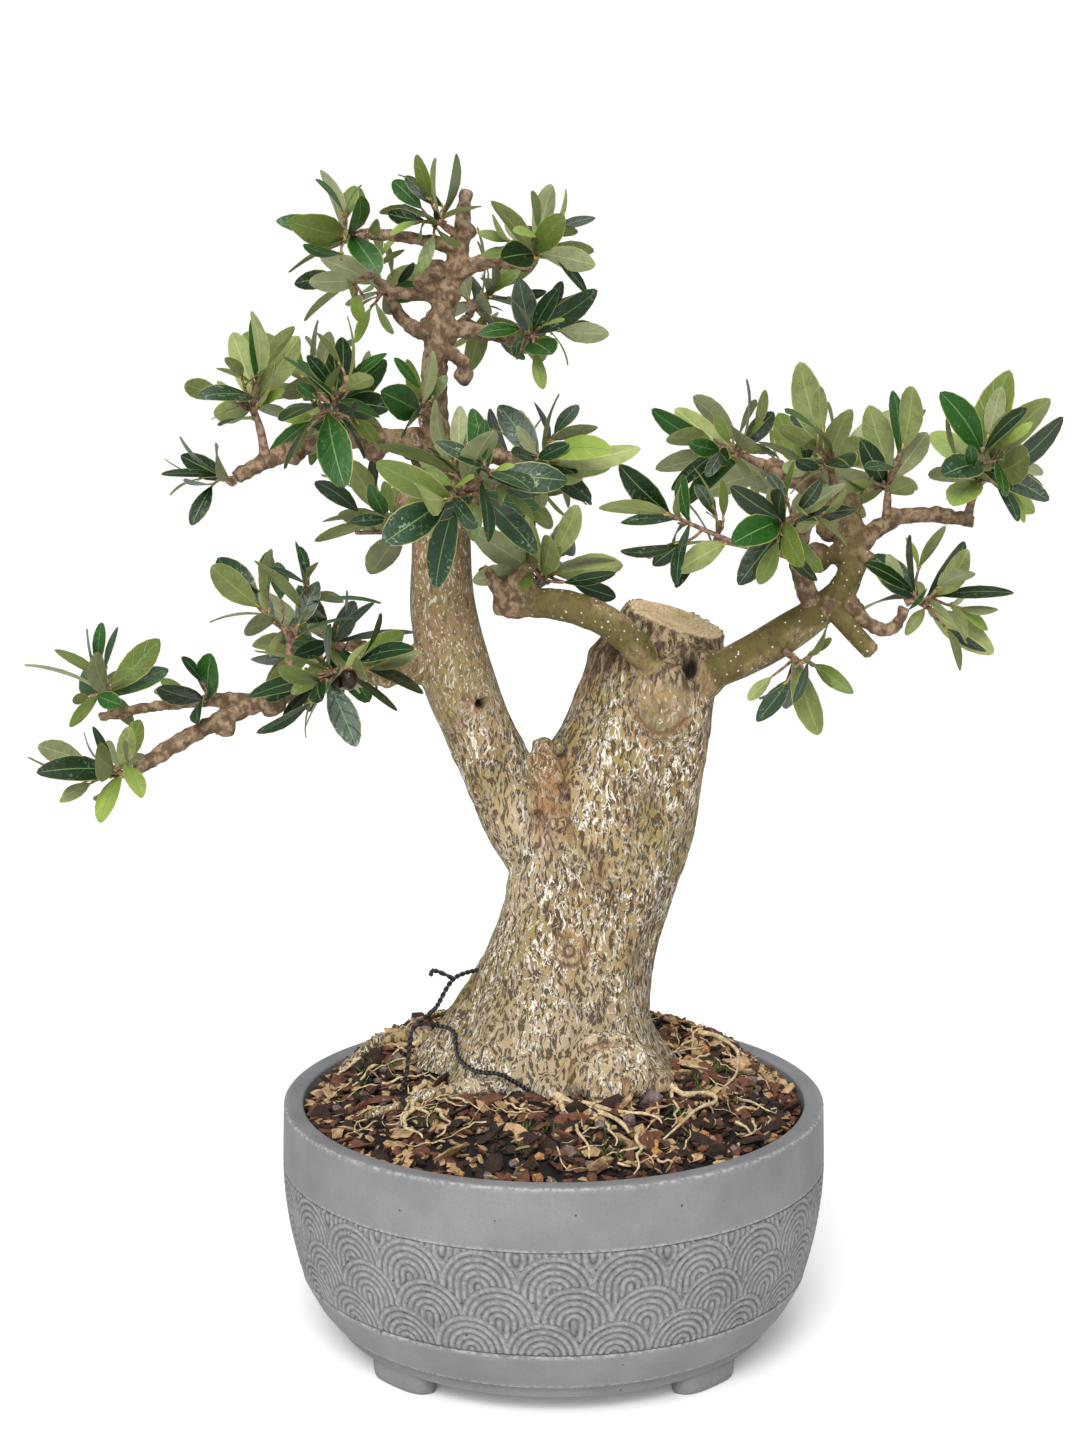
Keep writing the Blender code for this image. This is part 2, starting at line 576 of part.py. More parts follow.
def make_bowl(material):
    """Round bowl with wave scales in a recessed band, a foot ring and four feet."""
    outside = [(RIM_RADIUS - RIM_EASE, RIM_HEIGHT), *outer_profile()]
    under = [(FOOT_RING_RADIUS + 1, EDGE[1] - 2), (FOOT_RING_RADIUS, FOOT_HEIGHT), (0, FOOT_HEIGHT)]
    levels = (RIM_HEIGHT - RIM_EASE, BAND_TOP[1], BAND_BELLY[1], BAND_BOTTOM[1], SHOULDER[1], FLOOR_HEIGHT)
    inside = [(inner_radius(level), level) for level in reversed(levels)]
    mouth = (inner_radius(RIM_HEIGHT) + RIM_EASE, RIM_HEIGHT)
    profile = [(0, FLOOR_HEIGHT), *inside, mouth, *outside, *under]
    bm = bmesh.new()
    points = [bm.verts.new((radius * MM, 0, level * MM)) for radius, level in profile]
    edges = [bm.edges.new(pair) for pair in zip(points, points[1:])]
    bmesh.ops.spin(bm, geom=points + edges, cent=(0, 0, 0), axis=(0, 0, 1), angle=2 * math.pi,
                   steps=BOWL_SEGMENTS, use_merge=True)
    bmesh.ops.remove_doubles(bm, verts=bm.verts, dist=EPSILON)
    bowl = finish("bowl", bm, material)
    feet = []
    for index in range(FOOT_COUNT):
        middle = math.radians(45 + index * 360 / FOOT_COUNT)
        rings = []
        for place, share in FOOT_ENDS:
            angle = middle + math.radians(FOOT_HALF_ANGLE) * place
            out = Vector((math.cos(angle), math.sin(angle), 0))
            centre = FOOT_RING_RADIUS - FOOT_DEPTH / 2
            inner, outer = centre - share * FOOT_DEPTH / 2, centre + share * FOOT_DEPTH / 2
            corners = ((inner + 1, 0), (outer - 1, 0), (outer - 0.2, FOOT_HEIGHT + 2), (inner, FOOT_HEIGHT + 2))
            rings.append([out * radius + Vector((0, 0, level)) for radius, level in corners])
        feet.append(body_of(f"foot_{index}", rings, material))
    pitch = 2 * math.pi * BAND_BELLY[0] / SCALE_COUNT
    scales = [make_scale((index + shift) * pitch, level, material)
              for level, shift in SCALE_ROWS for index in range(SCALE_COUNT)]
    return apply_boolean(bowl, "UNION", feet + scales)


def soil_level(direction, distance):
    """Level of the soil's surface: flat under the trunk, falling in gentle humps to the wall."""
    edge = inner_radius(SOIL_EDGE) - GAP
    share = min(max((distance - SEAT_RADIUS) / (edge - SEAT_RADIUS), 0), 1)
    swell = SOIL_SWELL * math.sin(math.pi * share) * math.sin(3 * direction + 0.8)
    return SOIL_SEAT + (SOIL_EDGE - SOIL_SEAT) * share ** 1.25 + swell


def make_soil(material):
    """The filling of the bowl, with a mound that carries the trunk."""
    directions = [2 * math.pi * step / SOIL_SEGMENTS for step in range(SOIL_SEGMENTS)]

    def ring(radius, level):
        return [Vector((radius * math.cos(angle), radius * math.sin(angle), level)) for angle in directions]

    def surface_ring(radius):
        return [Vector((radius * math.cos(angle), radius * math.sin(angle), soil_level(angle, radius)))
                for angle in directions]

    levels = (FLOOR_HEIGHT + GAP, SHOULDER[1], BAND_BOTTOM[1], BAND_BELLY[1], BAND_TOP[1])
    # a regular polygon's sides lie inside its corners, so the filling keeps clear of the facets
    facet = 1 - math.cos(math.pi / BOWL_SEGMENTS)
    buried = [ring(inner_radius(level) * (1 - facet) - 2 * GAP, level) for level in levels]
    edge = inner_radius(SOIL_EDGE) * (1 - facet) - 2 * GAP
    spread = edge - SEAT_RADIUS
    surface = [surface_ring(SEAT_RADIUS + spread * share) for share in (1, 0.75, 0.5, 0.25, 0)]
    return body_of("soil", buried + surface, material)


# ------------------------------------------------------------------------------ trunk, limbs ----
def trunk_ring(section):
    """Points round the trunk at a level, with the buttresses of its foot."""
    ring = []
    flare = max((FLARE_TOP - section.level) / (FLARE_TOP - TRUNK[0].level), 0) ** 1.6
    for side in range(TRUNK_SIDES):
        angle = 2 * math.pi * side / TRUNK_SIDES
        grown = 0
        for direction, reach, spread in BUTTRESSES:
            off = (math.degrees(angle) - direction + 180) % 360 - 180
            grown += reach * flare * math.exp(-(off / spread) ** 2)
        across = (section.right - section.left) / 2 + grown - 3 * flare
        deep = section.half_depth + grown - 3 * flare
        middle = (section.left + section.right) / 2
        ring.append(Vector((middle + across * math.cos(angle), section.middle + deep * math.sin(angle), section.level)))
    return ring


def make_trunk(material):
    """Trunk from its flat foot to the sawn top, with the foot of the left fork and the callus."""
    turn = Matrix.Rotation(math.radians(SAW_TILT), 3, "Y")
    angles = [2 * math.pi * side / TRUNK_SIDES for side in range(TRUNK_SIDES)]
    saw_ring = [Vector(SAW_CENTRE) + turn @ Vector((SAW_RADII[0] * math.cos(angle), SAW_RADII[1] * math.sin(angle), 0))
                for angle in angles]
    trunk = body_of("trunk", [trunk_ring(section) for section in TRUNK] + [saw_ring], material)
    steps = 5
    places = [fork_place(FORK_JOINT * step / steps) for step in range(steps + 1)]
    rings = tube_rings(places, FORK_SIDES, end_ways=(None, limb_way("leader", 0)))
    fork = body_of("fork_foot", rings, material)
    lumps = [lump("callus", centre, half, material) for centre, half in CALLUS]
    return apply_boolean(trunk, "UNION", [fork, *lumps])


def make_leader(material):
    """The left fork above its joint, up to the apex, with its knobs."""
    count = 16
    places = [limb_place("leader", step / count) for step in range(count + 1)]
    foot_way = limb_way("leader", 0)
    places[0] = (places[0][0] + foot_way * GAP, places[0][1])
    leader = body_of("leader", tube_rings(places, FORK_SIDES, end_ways=(foot_way, None)), material)
    knobs = [lump("knob", centre, half, material, 1) for centre, half in LEADER_KNOBS]
    return apply_boolean(leader, "UNION", knobs)


def make_bough(name, parent, material):
    """One tapering limb, cut clear of the limb that carries it."""
    places = [limb_place(name, step / LIMB_RINGS) for step in range(LIMB_RINGS + 1)]
    sides = LIMB_SIDES if BOUGHS[name].radius > SLIM_RADIUS else SLIM_SIDES
    bough = body_of(name, tube_rings(places, sides), material)
    if name == "bough_stump_right":
        start, end, radius, tip_radius = CUT_STUB
        stub = tube_rings([(Vector(start), radius), (Vector(end), tip_radius)], SLIM_SIDES)
        apply_boolean(bough, "UNION", [body_of("cut_stub", stub, material)])
    return apply_boolean(bough, "DIFFERENCE", [swollen_copy(parent)])


def make_root(name, trunk, material):
    """A root that lies on the soil, cut clear of the trunk's foot."""
    root = ROOTS[name]
    places = []
    for step in range(LIMB_RINGS + 1):
        share = step / LIMB_RINGS
        direction = math.radians(bend(*[Vector((angle, 0)) for angle in root.directions], share)[0])
        distance = bend(*[Vector((away, 0)) for away in root.distances], share)[0]
        radius = root.radius + (root.tip_radius - root.radius) * share
        level = soil_level(direction, distance) + radius + 2 * GAP
        places.append((Vector((distance * math.cos(direction), distance * math.sin(direction), level)), radius))
    body = body_of(name, tube_rings(places, SLIM_SIDES), material)
    return apply_boolean(body, "DIFFERENCE", [swollen_copy(trunk)])


def trunk_reach(direction, level):
    """Distance from the axis of the bowl to the trunk's surface."""
    index = next(step for step, section in enumerate(TRUNK) if section.level > level)
    lower, upper = TRUNK[index - 1], TRUNK[index]
    share = (level - lower.level) / (upper.level - lower.level)
    section = Section(*[low + (high - low) * share for low, high in zip(lower, upper)])
    out = Vector((math.cos(direction), math.sin(direction), 0))
    return max(point.dot(out) for point in trunk_ring(section))


def make_wire(material):
    """The tie wire that leans on the trunk's foot and runs out over the soil."""
    route = []
    for degrees, clearance, height in WIRE_ROUTE:
        direction = math.radians(degrees)
        level = SOIL_SEAT + height
        distance = trunk_reach(direction, level) + clearance
        point = Vector((distance * math.cos(direction), distance * math.sin(direction), level))
        route.append(Vector((*point, WIRE_RADIUS)))
    count = 2 * (len(route) - 1)
    places = [spline(route, step / count) for step in range(count + 1)]
    rings = tube_rings([(Vector(place[:3]), WIRE_RADIUS) for place in places], WIRE_SIDES)
    return body_of("tie_wire", rings, material)


# --------------------------------------------------------------------------------- foliage ----
def leaf_body(leaf, material):
    """A thin closed leaf: a bowed blade that rises to a low peak."""
    base, along, face, length = leaf
    across = along.cross(face)
    half = LEAF_SLIM * length / 2

    def place(share, side, lift=0.0):
        bow = 4 * LEAF_ARCH * length * share * (1 - share)
        return base + along * length * share + across * half * side + face * (bow + lift)

    outline = [place(0, 0), place(0.3, 0.86), place(0.68, 0.92), place(1, 0), place(0.68, -0.92), place(0.3, -0.86)]
    bm = bmesh.new()
    rim = [bm.verts.new(point * MM) for point in outline]
    peak = bm.verts.new(place(0.5, 0, LEAF_THICK) * MM)
    for start, end in zip(rim, rim[1:] + rim[:1]):
        bm.faces.new((start, end, peak))
    base, first, second, tip, third, fourth = rim
    bm.faces.new((fourth, first, base))
    bm.faces.new((fourth, third, first))
    bm.faces.new((third, second, first))
    bm.faces.new((third, tip, second))
    return finish("leaf", bm, material)


def make_mass(name, parent, rods, material):
    """Twigs, leaves and fruit of one mass, joined to one body and cut clear of its limb."""
    mass = MASSES[name]
    twigs, leaves = grow(name, MASSES, rods)
    bodies = []
    for start, end, radius, tip_radius, turn in twigs:
        rings = tube_rings([(start, radius), (end, tip_radius)], TWIG_SIDES, turn)
        bodies.append(body_of(name, rings, material))
    stem, *parts = bodies
    parts += [leaf_body(leaf, material) for leaf in leaves]
    for twig in twigs[1:1 + FRUITS.get(name, 0)]:
        middle = twig[0].lerp(twig[1], 0.5) - Vector((0, 0, FRUIT_RADIUS))
        parts.append(lump("fruit", middle, (FRUIT_RADIUS,) * 3, material, 1))
    apply_boolean(stem, "UNION", parts)
    if mass.at < 1:
        apply_boolean(stem, "DIFFERENCE", [swollen_copy(parent)])
    return stem


# ------------------------------------------------------------------------------------ build ----
def build():
    """Make every piece, then move the plant so that the origin lies under its middle."""
    for old in list(bpy.data.objects):
        bpy.data.objects.remove(old)
    bark = make_material("bark", (0.30, 0.23, 0.16), 0.85)
    twig_bark = make_material("twig_bark", (0.27, 0.19, 0.12), 0.8)
    leaf = make_material("olive_leaf", (0.12, 0.20, 0.09), 0.5)
    stoneware = make_material("stoneware", (0.27, 0.27, 0.28), 0.8)
    earth = make_material("potting_soil", (0.09, 0.05, 0.03), 0.95)
    rubber = make_material("wire_coat", (0.02, 0.02, 0.02), 0.5)

    pieces = {"trunk": make_trunk(bark), "leader": make_leader(bark)}
    for name, limb in BOUGHS.items():
        pieces[name] = make_bough(name, pieces[limb.parent], twig_bark)
    rods = limb_rods()
    for name, mass in MASSES.items():
        pieces[name] = make_mass(name, pieces[mass.limb], rods, leaf)
    for name in ROOTS:
        pieces[name] = make_root(name, pieces["trunk"], twig_bark)
    pieces["bowl"] = make_bowl(stoneware)
    pieces["soil"] = make_soil(earth)
    pieces["tie_wire"] = make_wire(rubber)

    plant = bpy.data.objects.new("plant", None)
    bpy.context.scene.collection.objects.link(plant)
    points = [vertex.co for piece in pieces.values() for vertex in piece.data.vertices]
    for axis in range(2):
        places = [point[axis] for point in points]
        plant.location[axis] = -(min(places) + max(places)) / 2
    for piece in pieces.values():
        piece.parent = plant


if __name__ == "__main__":
    build()
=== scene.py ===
import json
import math
import random
from collections import namedtuple

import bmesh
import bpy
import numpy as np
from mathutils import Matrix, Vector, noise

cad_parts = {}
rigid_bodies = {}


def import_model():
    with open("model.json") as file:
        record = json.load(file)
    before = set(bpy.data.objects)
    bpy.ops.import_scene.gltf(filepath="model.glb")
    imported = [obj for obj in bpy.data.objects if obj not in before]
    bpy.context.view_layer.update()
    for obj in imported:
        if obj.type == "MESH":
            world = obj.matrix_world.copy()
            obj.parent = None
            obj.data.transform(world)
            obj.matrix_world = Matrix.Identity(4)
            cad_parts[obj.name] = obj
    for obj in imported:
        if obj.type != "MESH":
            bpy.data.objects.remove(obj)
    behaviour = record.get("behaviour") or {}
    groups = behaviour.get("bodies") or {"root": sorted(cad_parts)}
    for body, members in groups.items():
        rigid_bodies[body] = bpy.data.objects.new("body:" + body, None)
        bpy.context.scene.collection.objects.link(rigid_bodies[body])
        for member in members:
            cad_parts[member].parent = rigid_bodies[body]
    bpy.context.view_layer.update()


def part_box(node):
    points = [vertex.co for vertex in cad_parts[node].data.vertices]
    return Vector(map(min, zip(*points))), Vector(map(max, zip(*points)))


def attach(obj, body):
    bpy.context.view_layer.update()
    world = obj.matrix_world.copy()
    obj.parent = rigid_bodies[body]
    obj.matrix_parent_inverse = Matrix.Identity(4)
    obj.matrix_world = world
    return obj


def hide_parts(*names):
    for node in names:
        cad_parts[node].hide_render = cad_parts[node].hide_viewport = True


bl_info = {
    "name": "Olive Bonsai",
    "version": (1, 0, 0),
    "blender": (4, 5, 0),
    "location": "3D View > Sidebar > Bonsai",
    "description": "Bark, leaves, carved bowl and soil of a small olive tree",
    "category": "Object",
}

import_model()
MM = 0.001
BOWL_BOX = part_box("bowl")
AXIS = Vector(((BOWL_BOX[0].x + BOWL_BOX[1].x) / 2, (BOWL_BOX[0].y + BOWL_BOX[1].y) / 2, 0))

# Sizes are in millimetres from the axis of the bowl, with the feet's undersides at level 0.

# ------------------------------------------------------------------------------------- bowl ----
RIM_RADIUS = 120.0
RIM_HEIGHT = 108.0
RIM_EASE = 1.2
WALL = 8.7
FLOOR_HEIGHT = 20.0
FLOOR_RADIUS = 90.0
BAND_TOP = (120.6, 80.7)
BAND_BELLY = (118.6, 57.0)
BAND_BOTTOM = (113.2, 33.3)
SHOULDER = (109.1, 24.3)
EDGE = (102.9, 15.3)
FOOT_RING_RADIUS = 98.0
FOOT_HEIGHT = 8.5
FOOT_DEPTH = 15.0
FOOT_HALF_ANGLE = 10.5
SOIL_EDGE = 102.0
SOIL_SEAT = 121.0
SEAT_RADIUS = 62.0
SOIL_SWELL = 1.4
SCALE_COUNT = 24
# rows of wave scales: level, shift in shares of a scale, and how flat the scale's foot is
SCALE_ROWS = [(33.6, 0.84, 0.25), (49.0, 0.26, 0.25), (64.2, 0.0, 0.25), (79.4, 0.5, 0.42)]
SCALE_ARCS = 5
BAND_STEPS, BAND_LINES = 1180, 80
BAND_FRONT, BAND_BACK, BAND_CUT = 1.2, 3.0, 3.2
CHIP_REACH = 109.0
MOUND_HEIGHT = 9.0

# ------------------------------------------------------------------------------------ trunk ----
Section = namedtuple("Section", "level left right middle half_depth")
TRUNK = [
    Section(121.3, -58, 56, -1, 44),
    Section(129, -53, 50, -1, 40),
    Section(140, -47, 44, -1, 37),
    Section(155, -40, 42.5, 0, 35),
    Section(175, -30, 45, 0, 33),
    Section(195, -23, 50, 0, 32),
    Section(215, -19, 56.5, 0, 32),
    Section(235, -16, 61, 0, 32),
    Section(255, -9, 65, 0, 32),
    Section(275, 4, 68.5, 1, 31),
    Section(293, 12, 70.5, 2, 29),
    Section(308, 17, 73.5, 3, 26),
]
FLARE_TOP = 168.0
BUTTRESSES = [(-38, 11, 15), (-82, 6, 20), (-128, 9, 16), (172, 12, 15), (132, 9, 18), (70, 8, 22), (15, 5, 18)]
SAW_CENTRE = (53, 3, 322)
SAW_RADII = (21.5, 19.0)
SAW_TILT = 18.0
SAW_LEAN = 8.0
CALLUS = [((47, -21, 288), (19, 12, 22)), ((60, -17, 300), (14, 12, 12)), ((-3, -16, 257), (8, 9, 12))]
CALLUS_FACE = ((45, -29, 291), (12, 8, 17))
FORK = [
    (6, 2, 203, 18), (-13, 1, 233, 17), (-29.5, 0, 266, 15.2), (-41, -1, 296, 15.4), (-47.5, -2, 326, 14.2),
    (-48.5, -2, 352, 13), (-49, -2, 377, 10.5), (-50, -1, 397, 6.4), (-51, 0, 427, 5.6), (-46, 1, 458, 5.2),
    (-40.5, 1, 476, 4.2), (-37, 0, 504, 2.5),
]
FORK_JOINT = 0.2136
LEADER_KNOBS = [((-60, -3, 372), (8, 8, 8)), ((-40, -8, 368), (8, 8, 8)), ((-44, -2, 391), (6, 6, 6)),
                ((-50, -3, 470), (5, 5, 5)), ((-38, -3, 427), (4, 4, 5))]

Limb = namedtuple("Limb", "parent at via tip radius tip_radius")
BOUGHS = {
    "bough_stump_left": Limb("trunk", (44, -16, 297), (19, -31, 327), (-21, -27, 332), 7.2, 6.0),
    "bough_stump_right": Limb("trunk", (60, -15, 298), (95, -18, 315.5), (124, -20, 338), 8.4, 6.8),
    "bough_right_main": Limb("bough_stump_right", 0.93, (126, -5, 364), (91, 5, 388), 6.4, 3.8),
    "bough_right_front": Limb("bough_stump_right", 0.78, (103, -27, 350), (107, -30, 372), 4.2, 3.2),
    "bough_right_far": Limb("bough_right_main", 0.3, (150, 1, 366), (180, 0, 364), 4.4, 2.6),
    "bough_right_low": Limb("bough_stump_right", 0.96, (138, -27, 321), (147, -30, 331), 3.4, 2.2),
    "bough_right_back": Limb("bough_right_main", 0.45, (120, 26, 366), (114, 40, 372), 4.0, 2.6),
    "bough_low_left": Limb("leader", 0.09, (-112, -14, 293), (-177, -36, 262), 6.6, 2.6),
    "bough_low_left_upper": Limb("bough_low_left", 0.6, (-160, -10, 287), (-196, -8, 280), 3.4, 1.9),
    "bough_low_left_back": Limb("bough_low_left", 0.2, (-78, 16, 306), (-92, 26, 306), 3.8, 2.4),
    "bough_mid_left": Limb("leader", 0.53, (-95, -4, 399), (-134, -15, 384), 5.4, 2.8),
    "bough_mid_left_back": Limb("leader", 0.47, (-66, 32, 394), (-86, 44, 402), 4.2, 2.6),
    "bough_centre_front": Limb("leader", 0.43, (-38, -26, 384), (-33, -40, 376), 4.8, 3.4),
    "bough_centre_right": Limb("leader", 0.48, (-28, 4, 392), (-14, 6, 388), 4.4, 3.0),
    "bough_centre_back": Limb("leader", 0.4, (-34, 34, 376), (-24, 50, 378), 4.2, 2.6),
    "bough_top_left": Limb("leader", 0.9, (-62, -6, 484), (-78, -9, 485), 2.9, 2.2),
    "bough_top_left_mid": Limb("leader", 0.78, (-65, -2, 461), (-75, -4, 467), 2.9, 2.1),
    "bough_top_left_low": Limb("leader", 0.71, (-61, 6, 447), (-69, 14, 457), 3.5, 2.6),
    "bough_top_right": Limb("leader", 0.83, (-25, -6, 474.5), (-9, -13, 471), 3.8, 2.6),
    "bough_top_right_low": Limb("leader", 0.72, (-28, 5, 444), (-13, 8, 437), 3.8, 2.2),
    "bough_top_back": Limb("leader", 0.68, (-44, 30, 442), (-38, 44, 450), 3.2, 2.2),
}
LIMB_SWELL = 0.07
CUT_STUB = ((116, -24, 331), (133, -38, 313), 4.3, 3.9)
# knuckles on the boughs and lumps of the ridge in the fork and of the foot, as middle and radius
KNUCKLES = [
    ((-17, -27, 334), 6.2), ((-22, -25, 331), 4.4), ((-9, -30, 335), 5.2), ((-12, -31, 341), 4.4),
    ((112, -12, 350), 6.5), ((124, -12, 352), 6.5), ((118, -4, 362), 6.0), ((105, -24, 352), 5.0),
    ((126, -2, 372), 5.2), ((146, 0, 366), 4.4), ((96, 2, 386), 4.6), ((-45, -1, 461), 5.4),
    ((-52, -1, 447), 5.0), ((-49, -3, 437), 5.0), ((-60, -3, 399), 6.0), ((-76, -6, 396), 5.6),
    ((-110, -10, 394), 4.6), ((-5, -15, 269), 4.0), ((-9, -16, 262), 4.2), ((-1, -21, 257), 4.6),
    ((-7, -23, 247), 4.8), ((2, -28, 238), 4.2), ((13.6, -46, 130), 6.6), ((23, -47, 126), 8.0),
    ((35, -45, 129), 7.0), ((24, -42, 137), 8.5), ((19, -50, 123), 4.2), ((-2, -44, 124), 7.0),
    ((44, -36, 124), 8.0), ((6.5, -31, 183.3), 3.2), ((-72, -6, 300), 7.2), ((-64, -8, 306), 6.2),
    ((-120, -20, 289), 6.0), ((-140, -26, 280), 4.8), ((-37, 0, 486), 4.0),
]
# short cut stubs, as start, end and radius
STUBS = [
    ((-20, -28, 338), (-8, -36, 352), 3.6), ((-22, -26, 336), (-30, -30, 348), 3.2),
    ((-66, -6, 304), (-72, -16, 314), 4.2), ((122, -10, 356), (134, -20, 350), 3.4),
    ((-47, -2, 438), (-36, -8, 431), 3.2), ((-120, -20, 288), (-123, -28, 296), 2.8),
    ((120, -4, 366), (110, -12, 374), 3.0), ((-46, 0, 462), (-58, -6, 466), 2.8),
]
# the knotty ridge down the fork, as points and radius
COLUMN = [(-6, -12, 271, 3.4), (-5, -16, 264, 4.6), (-3, -21, 254, 5.2), (0, -25, 241, 4.6), (3, -27, 226, 3.4)]
# round ridges of bark: middle, radius and thickness of the eye-shaped knot and of the callus arch at the foot
RIDGES = [((6.5, -33.4, 183), 4.5, 1.9), ((23, -43.5, 130), 16.5, 3.6)]
# knot holes and scars: middle, size, depth and height of the lip
WOUNDS = [
    ((57.5, -26, 305.5), (4.6, 14, 8.0), 7.0, 2.2), ((-31.3, -15, 287.3), (3.2, 8, 3.2), 3.5, 1.5),
    ((-33.6, -14, 249), (4, 8, 4), 1.0, 1.6), ((-6, -30, 242.3), (3.5, 8, 3.5), 1.2, 1.6),
    ((-11.5, -30, 234), (3, 8, 3), 1.0, 1.4),
]
# swellings: middle, size and height
BULGES = [
    ((22, -42, 128), (20, 24, 26), 3.0),
    ((-45, -20, 330), (10, 12, 14), 1.5),
    ((10, -30, 160), (16, 16, 20), 1.5),
]
# creases round the callus, the foot's arch and the fork: start, end, width and depth
FOLDS = [
    ((5, -48, 131), (10, -47, 141), 2.2, 2.0), ((10, -47, 141), (22, -46, 145.5), 2.2, 2.4),
    ((22, -46, 145.5), (35, -44, 142), 2.2, 2.4), ((35, -44, 142), (43, -43, 134), 2.2, 1.8),
    ((17, -52, 136), (19, -53, 128), 2.2, 2.4), ((29, -51, 135), (30, -52, 126), 2.4, 2.6),
    ((24, -52, 131), (31, -51, 130), 2.0, 1.8), ((41, -46, 132), (43, -46, 125), 2.2, 2.0),
    ((33.5, -33, 306), (32, -33, 286), 2.6, 1.6), ((32, -33, 286), (42, -34, 275), 3, 2.2),
    ((42, -34, 275), (56, -31, 283), 3, 2.2), ((64, -27, 300), (62, -28, 290), 2.6, 1.2),
    ((36.5, -20, 316), (40, -24, 300), 2.5, 2.0), ((2.5, -14, 268), (5, -25, 248), 3.6, 5.0),
    ((5, -25, 248), (8, -31, 226), 2.6, 2.4), ((-9, -18, 262), (-6, -27, 238), 2.6, 2.2),
    ((-14.6, -26, 217), (-4, -30, 205), 2.6, 1.6),
]
# parts of the bark with a finish of their own, as middle, size and strength
EYE_KNOT = ((6.5, -33, 183), (9, 14, 9), 2)
CALLUS_SKIN = ((46, -32, 291), (16, 22, 22), 2.5)
FORK_RIDGE = ((-2, -20, 250), (14, 20, 34), 1.6)
PALE_FOOT = ((4, -40, 128), (62, 60, 60), 1.5)
PALE_FORK = ((-16, -20, 226), (34, 40, 46), 1)
KNOTTY_END = (-22, -28, 340)
GREEN_LIMBS = ["bough_stump_left", "bough_stump_right", "bough_right_main"]
DEEP_WOUND, DEEP_FOLD = 2, 4

Root = namedtuple("Root", "directions distances radius tip_radius")
ROOTS = {
    "root_left": Root((158, 168, 172), (50, 76, 97), 4.6, 2.0),
    "root_front_left": Root((-118, -138, -152), (44, 66, 92), 4.2, 1.8),
}
# pale fine roots on the soil by the foot, as points and the thickness at the start
FINE_ROOTS = [
    ([(-6, -44, 124), (4, -52, 123), (14, -60, 121.5), (24, -68, 120), (32, -78, 117.5)], 2.2),
    ([(0, -49, 123), (6, -66, 121), (11, -82, 117.5), (15, -96, 113)], 1.3),
    ([(10, -56, 122.5), (24, -61, 121.5), (38, -65, 120.5), (46, -70, 119)], 1.2),
    ([(14, -60, 121.5), (22, -74, 119), (26, -88, 115.5)], 1.0),
    ([(46, -34, 126), (55, -45, 122.5), (66, -38, 121.5), (69, -48, 120), (58, -60, 119.5), (46, -84, 117)],
     1.5),
    ([(50, -36, 124), (52, -56, 120), (50, -72, 118)], 0.9),
    ([(34, -78, 118), (35, -92, 115), (33, -104, 109)], 1.0),
    ([(-56, -32, 124), (-61, -50, 120), (-52, -62, 119.5)], 1.4),
    ([(-60, -56, 120), (-63, -70, 117.5), (-54, -80, 116)], 1.1),
    ([(-50, -58, 120), (-44, -70, 118.5), (-48, -80, 116.5)], 1.0),
    ([(66, 30, 127), (80, 27, 124), (83, 4, 120), (75, -22, 119)], 1.3),
    ([(-60, 14, 128), (-76, 2, 123), (-88, -14, 117)], 1.4),
]
STRAND_RADIUS, STRAND_OFFSET = 0.56, 0.55
WIRE_ROUTE = [(196, 9, 24), (204, 3, 22), (216, 3, 14), (231, 4, 11), (243, 4, 11), (253, 4, 7), (264, 4, 1.8),
              (275, 5, 1.8)]
WIRE_START = [(-33, -14, 169.3), (-43.6, -18, 166.3), (-51, -20, 154.5), (-54.6, -18, 150)]
WIRE_FORK = [(-54.6, -18, 150), (-61.5, -22, 144.5), (-62.8, -25, 137), (-64, -29, 127), (-66, -33, 121)]
WIRE_TAIL = [(-43.6, -18, 166.3), (-50, -20, 170), (-53, -20, 170.4), (-53.5, -20, 168.4)]

